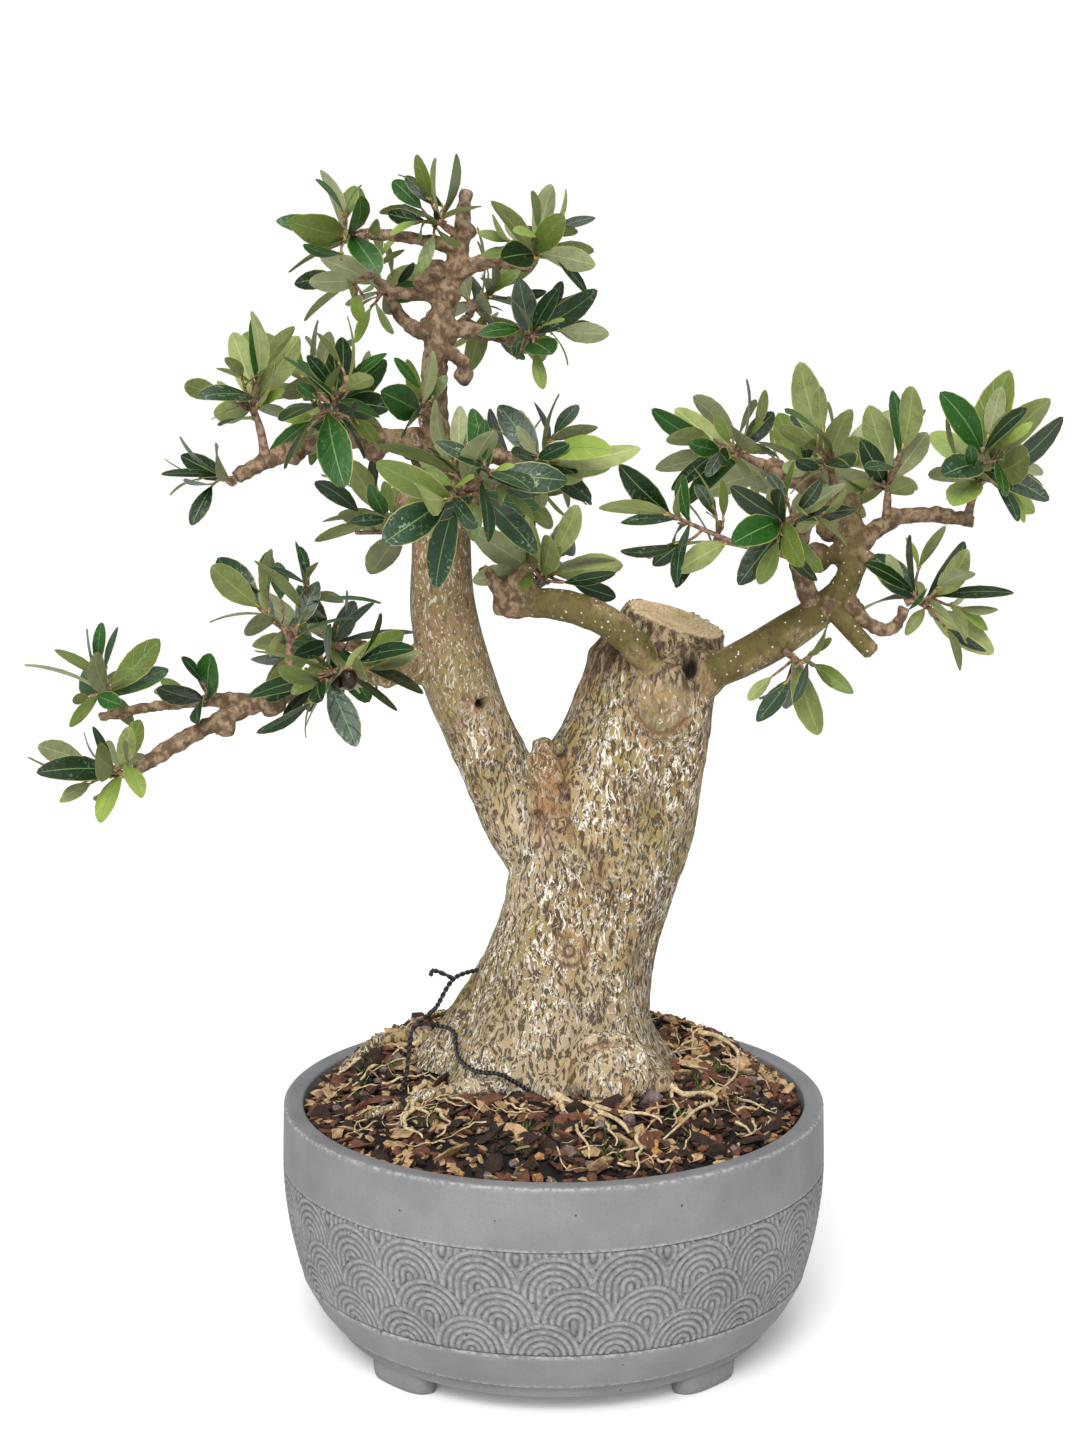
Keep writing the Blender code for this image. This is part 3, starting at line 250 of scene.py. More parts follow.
# ---------------------------------------------------------------------------------- foliage ----
Mass = namedtuple("Mass", "limb at centre reach shoots seed")
MASSES = {
    "leaves_low_left_tip": Mass("bough_low_left", 1, (-189, -42, 264), (38, 34, 24), 5, 15),
    "leaves_low_left_upper": Mass("bough_low_left_upper", 0.93, (-196, -10, 298), (34, 34, 24), 5, 211),
    "leaves_low_left_middle": Mass("bough_low_left_upper", 0.3, (-150, -16, 290), (27, 30, 28), 4, 125),
    "leaves_low_left_riser": Mass("bough_low_left", 0.5, (-113, -12, 339), (38, 34, 35), 5, 160),
    "leaves_low_left_inner": Mass("bough_low_left", 0.36, (-92, -38, 302), (50, 32, 28), 6, 264),
    "leaves_low_left_back": Mass("bough_low_left_back", 1, (-105, 45, 304), (42, 40, 31), 4, 38),
    "leaves_mid_left_tip": Mass("bough_mid_left", 1, (-141, -21, 386), (25, 28, 24), 4, 21),
    "leaves_mid_left_outer": Mass("bough_mid_left", 0.84, (-130, -14, 430), (27, 34, 32), 6, 86),
    "leaves_mid_left_inner": Mass("bough_mid_left", 0.5, (-92, -30, 422), (31, 36, 38), 6, 125),
    "leaves_mid_left_near": Mass("leader", 0.57, (-61, -32, 419), (20, 28, 24), 3, 284),
    "leaves_mid_left_under": Mass("leader", 0.33, (-85, 6, 364), (29, 34, 32), 5, 96),
    "leaves_mid_left_back": Mass("bough_mid_left_back", 1, (-105, 62, 415), (45, 42, 34), 4, 83),
    "leaves_top_left": Mass("bough_top_left", 1, (-89, -18, 485), (28, 34, 30), 5, 89),
    "leaves_top_left_mid": Mass("bough_top_left_mid", 1, (-88, -8, 464), (26, 30, 20), 3, 139),
    "leaves_top_left_low": Mass("bough_top_left_low", 1, (-76, 26, 463), (28, 32, 26), 4, 261),
    "leaves_top_apex": Mass("leader", 0.92, (-54, -10, 494), (28, 32, 26), 5, 228),
    "leaves_top_right": Mass("bough_top_right", 0.93, (-5, -20, 482), (31, 32, 26), 6, 260),
    "leaves_top_right_low": Mass("bough_top_right_low", 0.92, (-6, 8, 446), (32, 34, 24), 5, 77),
    "leaves_top_back": Mass("bough_top_back", 1, (-33, 62, 459), (38, 38, 33), 4, 215),
    "leaves_centre_front": Mass("bough_centre_front", 0.93, (-38, -62, 386), (41, 42, 48), 5, 286),
    "leaves_centre_right": Mass("bough_centre_right", 1, (-1, 8, 392), (38, 40, 28), 6, 112),
    "leaves_centre_low": Mass("bough_stump_left", 0.93, (2, -20, 352), (42, 38, 25), 5, 52),
    "leaves_centre_back": Mass("bough_centre_back", 1, (-11, 74, 380), (41, 42, 34), 4, 300),
    "leaves_right_inner": Mass("bough_right_main", 1, (71, 8, 397), (34, 36, 34), 6, 116),
    "leaves_right_inner_low": Mass("bough_right_front", 0.55, (44, -30, 364), (32, 34, 32), 5, 39),
    "leaves_right_front": Mass("bough_right_front", 0.93, (92, -58, 368), (34, 36, 27), 5, 46),
    "leaves_right_high": Mass("bough_right_main", 0.62, (113, -12, 404), (26, 36, 30), 6, 16),
    "leaves_right_middle": Mass("bough_right_far", 0.35, (143, -4, 393), (26, 36, 40), 6, 86),
    "leaves_right_tip": Mass("bough_right_far", 0.96, (186, -4, 396), (40, 38, 36), 6, 268),
    "leaves_right_low": Mass("bough_right_low", 1, (158, -32, 334), (38, 36, 31), 5, 297),
    "leaves_right_hanging": Mass("bough_stump_right", 0.5, (108, -40, 303), (27, 28, 33), 3, 2),
    "leaves_right_back": Mass("bough_right_back", 1, (116, 66, 383), (50, 44, 36), 5, 69),
}
GOLDEN = math.pi * (3 - math.sqrt(5))
GAP = 0.3
LEAF_LENGTH = 35.0
LEAF_VARY = 0.16
LEAF_SLIM = 0.37
LEAF_SET = 0.35
LEAF_FITS = (1.0, 0.85, 0.7)
PAIR_ANGLES = (24, 52, 78)
PAIR_STEP = 4.6
NODE_BACK = 1.8
HEART = 0.6
SHOOT_MIN, SHOOT_MAX = 3.0, 26.0
LONG_SHOOT = 10.0
TWIG_RADIUS = 1.15
TWIG_TIP = 0.8
STEM_MAX = 2.4
SPACE_EDGE = 1.12
SPACE_MARGIN = 0.07
LIMB_CLEAR = 2.1
LEAF_CLEAR = 4.6
FRUITS = {"leaves_low_left_inner": 2}
FRUIT_RADIUS = 4.4
# the finer twigs and young leaves that only this file adds; they stand closer together
FINE_CLEAR = 3.4
FINE_FITS = (1.0, 0.75)
FINE_SEED = 5000
FINE_TWIGS = 2
FINE_TWIG_RADIUS, FINE_TWIG_TIP = 0.75, 0.5
FINE_STEP = 3.6
YOUNG_LEAF = 17
# a leaf's rows of points along it and across it, as shares
LEAF_ROWS = (0.07, 0.2, 0.37, 0.55, 0.73, 0.88, 0.965)
LEAF_ACROSS = (-1.0, -0.5, -0.04, 0.04, 0.5, 1.0)

# ------------------------------------------------------------------------------------- stage ----
CAMERA_PLACE = (-4.7, -1100, 472.8)
CAMERA_DOWN = 10.148
SUN_TURN = (47, 0, -12)
SUN_SPREAD = 50
# lamps: place in metres, size and power
LAMPS = {"key": ((-0.15, -1.4, 1.3), 0.6, 9), "top": ((0.2, 0.2, 1.7), 0.9, 7)}
LAMP_AIM = (0, 0, 0.25)


# --------------------------------------------------------------------------- curves and limbs ----
def bend(start, via, tip, share):
    """Point on the parabola that runs from start to tip and passes via half way."""
    control = 2 * via - (start + tip) / 2
    return (1 - share) ** 2 * start + 2 * share * (1 - share) * control + share ** 2 * tip


def spline(points, share):
    """Point on a smooth curve through points of any number of measures."""
    last = len(points) - 1
    place = min(max(share, 0.0), 1.0) * last
    index = min(int(place), last - 1)
    a, b, c, d = (Vector(points[min(max(index + step, 0), last)]) for step in (-1, 0, 1, 2))
    t = place - index
    return 0.5 * (2 * b + (c - a) * t + (2 * a - 5 * b + 4 * c - d) * t * t + (3 * b - a - 3 * c + d) * t ** 3)


def fork_place(share):
    """Point and radius of the left fork at a share of its length, from inside the trunk to the apex."""
    found = spline(FORK, share)
    return Vector(found[:3]), found[3]


def limb_place(name, share):
    """Point and radius on a limb's middle line."""
    if name == "leader":
        return fork_place(FORK_JOINT + (1 - FORK_JOINT) * share)
    limb = BOUGHS[name]
    start = Vector(limb.at) if isinstance(limb.at, tuple) else limb_place(limb.parent, limb.at)[0]
    point = bend(start, Vector(limb.via), Vector(limb.tip), share)
    swell = 1 + LIMB_SWELL * math.sin(7 * share + len(name))
    return point, (limb.radius + (limb.tip_radius - limb.radius) * share) * swell


def limb_way(name, share):
    """Unit direction of a limb at a share of its length."""
    step = 0.02
    return (limb_place(name, min(share + step, 1))[0] - limb_place(name, max(share - step, 0))[0]).normalized()


def limb_rods(count=12):
    """Every limb as short straight rods (start, end, radius) for clearance tests."""
    rods = []
    for name in ["leader", *BOUGHS]:
        places = [limb_place(name, step / count) for step in range(count + 1)]
        rods += [(a, b, max(ra, rb), name) for (a, ra), (b, rb) in zip(places, places[1:])]
    trunk_line = [(Vector(((s.left + s.right) / 2, s.middle, s.level)), s.half_depth) for s in TRUNK]
    rods += [(a, b, max(ra, rb), "trunk") for (a, ra), (b, rb) in zip(trunk_line, trunk_line[1:])]
    rods.append((trunk_line[-1][0], Vector(SAW_CENTRE), SAW_RADII[0], "trunk"))
    stub_start, stub_end, stub_radius, _ = CUT_STUB
    rods.append((Vector(stub_start), Vector(stub_end), stub_radius, "bough_stump_right"))
    return rods


def distance_to_rod(point, rod):
    """Distance from a point to a rod's surface."""
    start, end, radius = rod[:3]
    along = end - start
    share = min(max((point - start).dot(along) / along.length_squared, 0), 1)
    return (point - start - along * share).length - radius


# ---------------------------------------------------------------------------- foliage's rule ----
def stem_of(mass):
    """Start, heart and radius of the stem that carries a mass."""
    place, radius = limb_place(mass.limb, mass.at)
    radius = min(0.8 * radius, STEM_MAX)
    if mass.at == 1:
        end_way = limb_way(mass.limb, 1)
        way = (Vector(mass.centre) - place).normalized()
        place = place + end_way * (GAP + radius * end_way.cross(way).length)
    return place, place.lerp(Vector(mass.centre), HEART), radius


def space_share(mass, point):
    """0 at the middle of a mass's space and 1 at its edge."""
    away = point - Vector(mass.centre)
    return math.sqrt(sum((away[axis] / mass.reach[axis]) ** 2 for axis in range(3)))


def room_along(mass, start, way):
    """Distance from start to the edge of the space."""
    a = sum((way[axis] / mass.reach[axis]) ** 2 for axis in range(3))
    off = start - Vector(mass.centre)
    b = sum(way[axis] * off[axis] / mass.reach[axis] ** 2 for axis in range(3))
    c = sum((off[axis] / mass.reach[axis]) ** 2 for axis in range(3)) - 1
    inside = b * b - a * c
    return (-b + math.sqrt(inside)) / a if inside > 0 else 0.0


def in_space(mass, others, point):
    """True where a point belongs to this mass and to no other."""
    own = space_share(mass, point)
    if own > SPACE_EDGE:
        return False
    return all(own + SPACE_MARGIN < space_share(other, point) for other in others)


def side_vector(way, angle):
    """Unit vector at right angles to way, turned about it by angle."""
    flat = Vector((0, 0, 1)) if abs(way.z) < 0.9 else Vector((1, 0, 0))
    first = way.cross(flat).normalized()
    second = way.cross(first)
    return first * math.cos(angle) + second * math.sin(angle)


def leaf_points(leaf):
    """Points along a leaf's middle line and at its edges, for the tests of its place."""
    base, along, face, length = leaf
    across = along.cross(face)
    half = LEAF_SLIM * length / 2
    line = [base + along * length * share for share in (0.3, 0.55, 0.8, 1.0)]
    edge = [base + along * length * share + across * half * side for share in (0.35, 0.7) for side in (-1, 1)]
    return line + edge


def neighbours(name, masses):
    """The masses whose spaces come near this one's."""
    mass = masses[name]
    near = []
    for other_name, other in masses.items():
        if other_name == name:
            continue
        gaps = [abs(mass.centre[axis] - other.centre[axis]) - mass.reach[axis] - other.reach[axis]
                for axis in range(3)]
        if max(gaps) < 0:
            near.append(other)
    return near


def obstacles(name, masses, rods):
    """Limbs and other masses' stems near a mass, as rods."""
    mass = masses[name]
    centre = Vector(mass.centre)
    reach = max(mass.reach)
    stems = []
    for other_name, other in masses.items():
        if other_name != name:
            start, heart, radius = stem_of(other)
            stems.append((start, heart, radius, other_name))
    return [rod for rod in rods + stems
            if min((rod[0] - centre).length, (rod[1] - centre).length) < reach + rod[2] + 25]


class Spray:
    """Twigs and leaves of one mass, grown by the same rule as the solids and then finer."""

    def __init__(self, name, rods):
        self.mass = MASSES[name]
        self.others = neighbours(name, MASSES)
        self.near = obstacles(name, MASSES, rods)
        self.twigs = []
        self.leaves = []
        self.taken = []
        self.grow()
        self.refine(random.Random(self.mass.seed + FINE_SEED))

    def fits(self, points, clear):
        """True where the points stay in the space, off the limbs and away from other leaves."""
        if not all(in_space(self.mass, self.others, point) for point in points):
            return False
        if any(distance_to_rod(point, rod) < LIMB_CLEAR for point in points for rod in self.near):
            return False
        return not any((point - other).length < clear for point in points for other in self.taken)

    def place(self, leaf, clear=LEAF_CLEAR, fits=LEAF_FITS):
        """Add a leaf at the largest size that fits, if any does."""
        base, along, face, full = leaf
        for fit in fits:
            sized = (base, along, face, full * fit)
            points = leaf_points(sized)
            if self.fits(points, clear):
                self.leaves.append(sized)
                self.taken += points
                return True
        return False

    def grow(self):
        """Main shoots and leaves, one for one with the solids."""
        mass = self.mass
        rng = random.Random(mass.seed)
        start, heart, radius = stem_of(mass)
        self.twigs.append((start, heart, radius, TWIG_RADIUS, 0))
        turn = rng.uniform(0, 2 * math.pi)
        for shoot in range(mass.shoots):
            rise = 0.92 - 1.5 * (shoot + rng.uniform(0.2, 0.8)) / mass.shoots
            spin = turn + shoot * GOLDEN + rng.uniform(-0.5, 0.5)
            level = math.sqrt(1 - rise * rise)
            way = Vector((level * math.cos(spin), level * math.sin(spin), rise))
            length = LEAF_LENGTH * rng.uniform(1 - LEAF_VARY, 1 + LEAF_VARY)
            room = room_along(mass, heart, way)
            if room < 0.5 * length:
                continue
            reach = min(max(room - 0.85 * length, SHOOT_MIN), SHOOT_MAX)
            root = start.lerp(heart, rng.uniform(0.7, 1.0) if shoot else 1.0)
            tip = heart + way * reach
            if not in_space(mass, self.others, tip):
                continue
            if any(distance_to_rod(heart.lerp(tip, share), rod) < LIMB_CLEAR
                   for share in (0.5, 1) for rod in self.near):
                continue
            axis = (tip - root).normalized()
            phase = rng.uniform(0, math.pi)
            self.twigs.append((root, tip, TWIG_RADIUS, TWIG_TIP, phase))
            pairs = len(PAIR_ANGLES) if reach > LONG_SHOOT else len(PAIR_ANGLES) - 1
            for pair in range(pairs):
                node = tip - axis * (pair * PAIR_STEP + NODE_BACK)
                for side in (0, math.pi):
                    lean = math.radians(PAIR_ANGLES[pair] + rng.uniform(-9, 9))
                    out = side_vector(axis, phase + pair * math.pi / 2 + side + rng.uniform(-0.25, 0.25))
                    along = axis * math.cos(lean) + out * math.sin(lean)
                    face = axis * math.sin(lean) - out * math.cos(lean)
                    face = (face + along.cross(face) * rng.uniform(-0.5, 0.5)).normalized()
                    full = length * rng.uniform(0.88, 1.08)
                    self.place((node + out * LEAF_SET, along, face, full))

    def refine(self, rng):
        """Young leaves at the shoots' ends, and finer side twigs with small leaves."""
        for start, tip, _, _, phase in self.twigs[1:]:
            axis = (tip - start).normalized()
            self.pair(rng, tip, axis, phase + 0.8, 15, rng.uniform(9, 15))
            for _ in range(FINE_TWIGS):
                root = start.lerp(tip, rng.uniform(0.3, 0.8))
                out = side_vector(axis, rng.uniform(0, 2 * math.pi))
                way = (axis * 0.6 + out * 0.8).normalized()
                end = root + way * rng.uniform(6, 13)
                if not self.fits([end, root.lerp(end, 0.6)], 0.5):
                    continue
                before = len(self.leaves)
                for step, lean in ((0, 26), (1, 55)):
                    self.pair(rng, end - way * step * FINE_STEP, way, phase + step * math.pi / 2, lean,
                              rng.uniform(16, 26))
                if len(self.leaves) > before:
                    self.twigs.append((root, end, FINE_TWIG_RADIUS, FINE_TWIG_TIP, phase))

    def pair(self, rng, node, axis, phase, lean, length):
        """Two small leaves facing each other across a twig."""
        for side in (0, math.pi):
            angle = math.radians(lean + rng.uniform(-8, 8))
            out = side_vector(axis, phase + side + rng.uniform(-0.3, 0.3))
            along = axis * math.cos(angle) + out * math.sin(angle)
            face = axis * math.sin(angle) - out * math.cos(angle)
            full = length * rng.uniform(0.85, 1.1)
            self.place((node + out * LEAF_SET, along, face, full), FINE_CLEAR, FINE_FITS)


# -------------------------------------------------------------------------------- mesh making ----
def scene_place(point):
    """Place in the scene of a point in millimetres off the bowl's axis."""
    return Vector(point) * MM + AXIS


def scene_places(points):
    """Places in the scene of many points in millimetres off the bowl's axis."""
    return np.asarray(points, float).reshape(-1, 3) * MM + np.array(AXIS)


def mesh_points(mesh):
    """Points of a mesh in millimetres off the bowl's axis."""
    raw = np.empty(len(mesh.vertices) * 3)
    mesh.vertices.foreach_get("co", raw)
    return (raw.reshape(-1, 3) - np.array(AXIS)) / MM


def polar(direction, distance, level):
    """Point at a direction and distance from the bowl's axis."""
    return Vector((distance * math.cos(direction), distance * math.sin(direction), level))


def deselect():
    """Leave edit mode and select nothing."""
    if bpy.context.object and bpy.context.object.mode != "OBJECT":
        bpy.ops.object.mode_set(mode="OBJECT")
    bpy.ops.object.select_all(action="DESELECT")


def choose(*things):
    """Select some objects and nothing else, with the last one active."""
    deselect()
    for thing in things:
        thing.select_set(True)
    bpy.context.view_layer.objects.active = things[-1]


def put_in_scene(name, mesh):
    """An object for a mesh."""
    thing = bpy.data.objects.new(name, mesh)
    bpy.context.scene.collection.objects.link(thing)
    return thing


def piece_from(name, points, faces, materials, slots=None, uv=None):
    """One mesh of many small shapes, from points in millimetres off the bowl's axis."""
    mesh = bpy.data.meshes.new(name)
    mesh.from_pydata(scene_places(points).tolist(), [], faces)
    for material in materials:
        mesh.materials.append(material)
    if slots is not None:
        mesh.polygons.foreach_set("material_index", np.asarray(slots, np.int32))
    if uv is not None:
        layer = mesh.uv_layers.new(name="leaf")
        layer.data.foreach_set("uv", np.asarray(uv, np.float32).ravel())
    mesh.polygons.foreach_set("use_smooth", np.ones(len(mesh.polygons), bool))
    mesh.update()
    return put_in_scene(name, mesh)


def settle(thing, slot, *nodes):
    """Hand a finished piece to the frame, in place of its solids."""
    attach(thing, "root")
    if nodes:
        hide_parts(*nodes)


def tube_rings(places, sides, turn=0.0):
    """Rings round a line of (point, radius) places, carried along without twist."""
    rings = []
    way = (places[1][0] - places[0][0]).normalized()
    first = side_vector(way, turn)
    for index, (point, radius) in enumerate(places):
        before = places[max(index - 1, 0)][0]
        after = places[min(index + 1, len(places) - 1)][0]
        way = (after - before).normalized()
        first = (first - way * first.dot(way)).normalized()
        second = way.cross(first)
        turns = [2 * math.pi * side / sides for side in range(sides)]
        rings.append([point + (first * math.cos(turn) + second * math.sin(turn)) * radius for turn in turns])
    return rings


class Heap:
    """Points and faces of many tubes and lumps that become one mesh."""

    def __init__(self):
        self.points = []
        self.faces = []
        self.slots = []

    def rings(self, rings, slot=0):
        """Closed tube over rings with the same count of points."""
        count = len(rings[0])
        last = (len(rings) - 1) * count
        made = [(low + index, low + (index + 1) % count, low + count + (index + 1) % count, low + count + index)
                for low in range(0, last, count) for index in range(count)]
        made.append(tuple(reversed(range(count))))
        made.append(tuple(range(last, last + count)))
        self.shape([point for ring in rings for point in ring], made, slot)

    def tube(self, places, sides, turn=0.0, slot=0):
        """Closed tube along a line of (point, radius) places."""
        self.rings(tube_rings(places, sides, turn), slot)

    def shape(self, points, faces, slot=0):
        """Any closed shape."""
        base = len(self.points)
        self.points += [tuple(point) for point in points]
        self.faces += [tuple(base + index for index in face) for face in faces]
        self.slots += [slot] * len(faces)

    def piece(self, name, *materials):
        """The heap as one object."""
        return piece_from(name, self.points, self.faces, materials, self.slots)


def ball(fineness):
    """Points and faces of a unit ball."""
    bm = bmesh.new()
    bmesh.ops.create_icosphere(bm, subdivisions=fineness, radius=1)
    points = [vertex.co.copy() for vertex in bm.verts]
    faces = [tuple(vertex.index for vertex in face.verts) for face in bm.faces]
    bm.free()
    return points, faces


def turbulence(points, size, stretch=1.0, seed=0.0):
    """Noise from -1 to 1 at each point, with lumps of one size in millimetres, longer upwards by stretch."""
    scaled = np.asarray(points) / np.array((size, size, size * stretch)) + seed
    return np.array([noise.noise(point) for point in scaled.tolist()])


def smooth_step(low, high, values):
    """0 below low, 1 above high, smooth between."""
    share = np.clip((values - low) / (high - low), 0, 1)
    return share * share * (3 - 2 * share)


def write_attribute(mesh, name, values):
    """Store one number for each vertex."""
    layer = mesh.attributes.new(name, "FLOAT", "POINT")
    layer.data.foreach_set("value", np.asarray(values, np.float32))


# ---------------------------------------------------------------------------------- materials ----
def linear(code):
    """Linear colour of an sRGB hex code such as 7f8184."""
    parts = [int(code[index:index + 2], 16) / 255 for index in (0, 2, 4)]
    return (*[part / 12.92 if part <= 0.04045 else ((part + 0.055) / 1.055) ** 2.4 for part in parts], 1.0)


def shade(colour, share):
    """A colour made darker, or lighter above 1."""
    return (*[min(part * share, 1.0) for part in colour[:3]], 1.0)


def add(tree, kind, sockets=None, output=None, **settings):
    """Add a node with its settings, its values and its links, and give back its output."""
    made = tree.nodes.new("ShaderNode" + kind)
    for key, value in settings.items():
        setattr(made, key, value)
    for socket, value in (sockets or {}).items():
        if isinstance(value, bpy.types.NodeSocket):
            tree.links.new(value, made.inputs[socket])
        else:
            made.inputs[socket].default_value = value
    if output:
        return made.outputs[output]
    return next(socket for socket in made.outputs if socket.enabled)


def new_material(name, roughness, ior=1.45):
    """A material, its node tree and its shader."""
    material = bpy.data.materials.new(name)
    material.use_nodes = True
    shader = material.node_tree.nodes["Principled BSDF"]
    shader.inputs["Roughness"].default_value = roughness
    shader.inputs["IOR"].default_value = ior
    return material, material.node_tree, shader


def patches(tree, size, low, high, most=1.0, upright=1.0, detail=3.0, place=0.0, sway=0.0):
    """Share of cloudy patches of a size in millimetres, longer upwards by upright, and wavy by sway."""
    scale = 1 / (size * MM)
    where = add(tree, "TexCoord", output="Object")
    if sway:
        drift = add(tree, "TexNoise", {"Vector": where, "Scale": 0.2 / (sway * MM), "Detail": 1.0},
                    output="Color")
        where = add(tree, "VectorMath", {0: drift, 1: (4 * sway * MM,) * 3, 2: where}, operation="MULTIPLY_ADD")
    where = add(tree, "Mapping", {"Vector": where, "Location": (place,) * 3,
                                  "Scale": (scale, scale, scale / upright)})
    cloud = add(tree, "TexNoise", {"Vector": where, "Scale": 1.0, "Detail": detail, "Roughness": 0.55})
    return add(tree, "MapRange", {0: cloud, 1: low, 2: high, 4: most}, interpolation_type="SMOOTHSTEP")


def coats(tree, colour, *layers):
    """A ground colour with more colours laid over it, each by its share."""
    for share, over in layers:
        colour = add(tree, "Mix", {0: share, 6: colour, 7: over}, data_type="RGBA")
    return colour


def finish(tree, shader, colour, *bumps):
    """Lead a colour, and bumps as heights with their depths in millimetres, to the shader."""
    tree.links.new(colour, shader.inputs["Base Color"])
    for height, depth in bumps:
        below = shader.inputs["Normal"].links
        sockets = {"Normal": below[0].from_socket} if below else {}
        bump = add(tree, "Bump", {"Height": height, "Distance": depth * MM, **sockets})
        tree.links.new(bump, shader.inputs["Normal"])


def bark_material(look):
    """Olive bark: old grey bark with pale flecks and brown cracks that carry painted shade, and smooth young
    bark with pores.
    """
    material, tree, shader = new_material("olive_bark", 0.82)
    marks = {name: add(tree, "Attribute", output="Fac", attribute_name=name)
             for name in ("old", "green", "thin", "sawn", "bare", "hole_shade", "cork", "pale")}
    # old bark: tan and grey clouds, olive algae, wavy upright pale strokes between dark ones, the dark ones
    # painted shade in the fine cracks
    foot = add(tree, "Math", {0: marks["pale"], 1: 0.6}, operation="MULTIPLY")
    shadow = patches(tree, 1.7, 0.5, 0.58, 0.9, 3.5, 2.5, 3.0, 2.0)
    worm = add(tree, "Math", {0: patches(tree, 3.6, 0.0, 1.0, 1.0, 2.0, 2.0, 23.0), 1: 0.5},
               operation="SUBTRACT")
    worm = add(tree, "Math", {0: worm}, operation="ABSOLUTE")
    worm = add(tree, "MapRange", {0: worm, 1: 0.022, 2: 0.055, 3: 1.0, 4: 0.0})
    worm = add(tree, "Math", {0: worm, 1: patches(tree, 4.0, 0.4, 0.52, 1.0, 1.4, place=31.0)},
               operation="MULTIPLY")
    stroke = patches(tree, 1.4, 0.55, 0.61, 1.0, 5.0, 2.0, 11.0, 2.4)
    fleck = add(tree, "Math", {0: stroke, 1: worm}, operation="MAXIMUM")
    fleck = add(tree, "Math", {0: fleck, 1: patches(tree, 24, 0.32, 0.6, 1.0, 1.3, 5.0, 5.0)},
                operation="MULTIPLY")
    old = coats(tree, look.old_dark,
                (patches(tree, 22, 0.34, 0.66, upright=1.6), look.old_light),
                (patches(tree, 17, 0.47, 0.62, 0.6, 1.4, place=7.0), look.algae),
                (foot, look.foot),
                (shadow, look.crack_shade),
                (add(tree, "Math", {0: fleck, 1: 0.9}, operation="MULTIPLY"), look.fleck))
    # young bark: olive over brown, with fine pale pores, short pale strokes and brown mottling
    strokes = patches(tree, 1.0, 0.58, 0.64, 0.6, 4.0, 2.0, 41.0, 3.0)
    strokes = add(tree, "Math", {0: strokes, 1: marks["thin"]}, operation="SUBTRACT", use_clamp=True)
    strokes = add(tree, "Math", {0: strokes, 1: marks["green"]}, operation="SUBTRACT", use_clamp=True)
    where = add(tree, "TexCoord", output="Object")
    cells = add(tree, "TexVoronoi", {"Vector": where, "Scale": 1 / (2.6 * MM)})
    pore = add(tree, "MapRange", {0: cells, 1: 0.12, 2: 0.2, 3: 0.85, 4: 0.0})
    pore = add(tree, "Math", {0: pore, 1: patches(tree, 5, 0.4, 0.5, 1.0, 1.5, place=43.0)},
               operation="MULTIPLY")
    pore = add(tree, "Math", {0: pore, 1: marks["thin"]}, operation="SUBTRACT", use_clamp=True)
    young = coats(tree, look.young_brown,
                  (patches(tree, 24, 0.35, 0.62, upright=1.3, place=2.0), look.young_olive),
                  (marks["green"], look.young_green),
                  (marks["thin"], coats(tree, look.twiggy, (patches(tree, 4, 0.4, 0.6), look.twiggy_grey))),
                  (patches(tree, 2.2, 0.48, 0.64, 0.6, 1.6, 4.0, 9.0), look.young_dark),
                  (strokes, look.fleck),
                  (pore, look.fleck))
    # orange-brown cork in folds and round wounds
    cork = add(tree, "Math", {0: marks["cork"], 1: patches(tree, 5, 0.25, 0.6, upright=2.5, place=13.0)},
               operation="MULTIPLY")
    # bare wood under the saw cut: dark upright streaks, the thinnest of them painted shade in fine cracks
    bare = coats(tree, look.bare_dark,
                 (patches(tree, 3.2, 0.4, 0.6, upright=14.0, place=17.0), look.bare_light),
                 (patches(tree, 1.5, 0.54, 0.6, 0.9, 20.0, place=19.0), look.crack_shade))
    # the sawn face: pale wood with faint growth rings round its heart
    where = add(tree, "Mapping", {"Vector": where, "Location": -scene_place(SAW_CENTRE)})
    ring = add(tree, "TexWave", {"Vector": where, "Scale": 1 / (7 * MM), "Distortion": 3.0, "Detail": 3.0},
               output="Fac", wave_type="RINGS", rings_direction="Z")
    cut = coats(tree, look.cut_light,
                (add(tree, "Math", {0: ring, 1: 0.4}, operation="MULTIPLY"), look.cut_ring),
                (patches(tree, 8, 0.5, 0.7, 0.6, place=21.0), look.cut_ring))
    # painted shade: near black inside the knot holes, at the bottoms of the deepest folds and in a thin ring
    # round the eye-shaped knot
    colour = coats(tree, young, (marks["old"], old), (cork, look.cork), (marks["bare"], bare),
                   (marks["sawn"], cut), (marks["hole_shade"], look.hole_shade))
    rise = add(tree, "Math", {0: fleck, 1: shadow}, operation="SUBTRACT")
    rise = add(tree, "Math", {0: rise, 1: marks["old"]}, operation="MULTIPLY")
    finish(tree, shader, colour, (rise, 0.6), (patches(tree, 1.4, 0.2, 0.8, upright=2.0, place=1.0), 0.2),
           (pore, 0.12))
    return material


def twig_material(name, light, dark):
    """Thin bark of green twigs and leaf stalks: smooth, with darker spots."""
    material, tree, shader = new_material(name, 0.7)
    finish(tree, shader, coats(tree, light, (patches(tree, 2.2, 0.4, 0.65), dark)),
           (patches(tree, 1.0, 0.2, 0.8), 0.18))
    return material


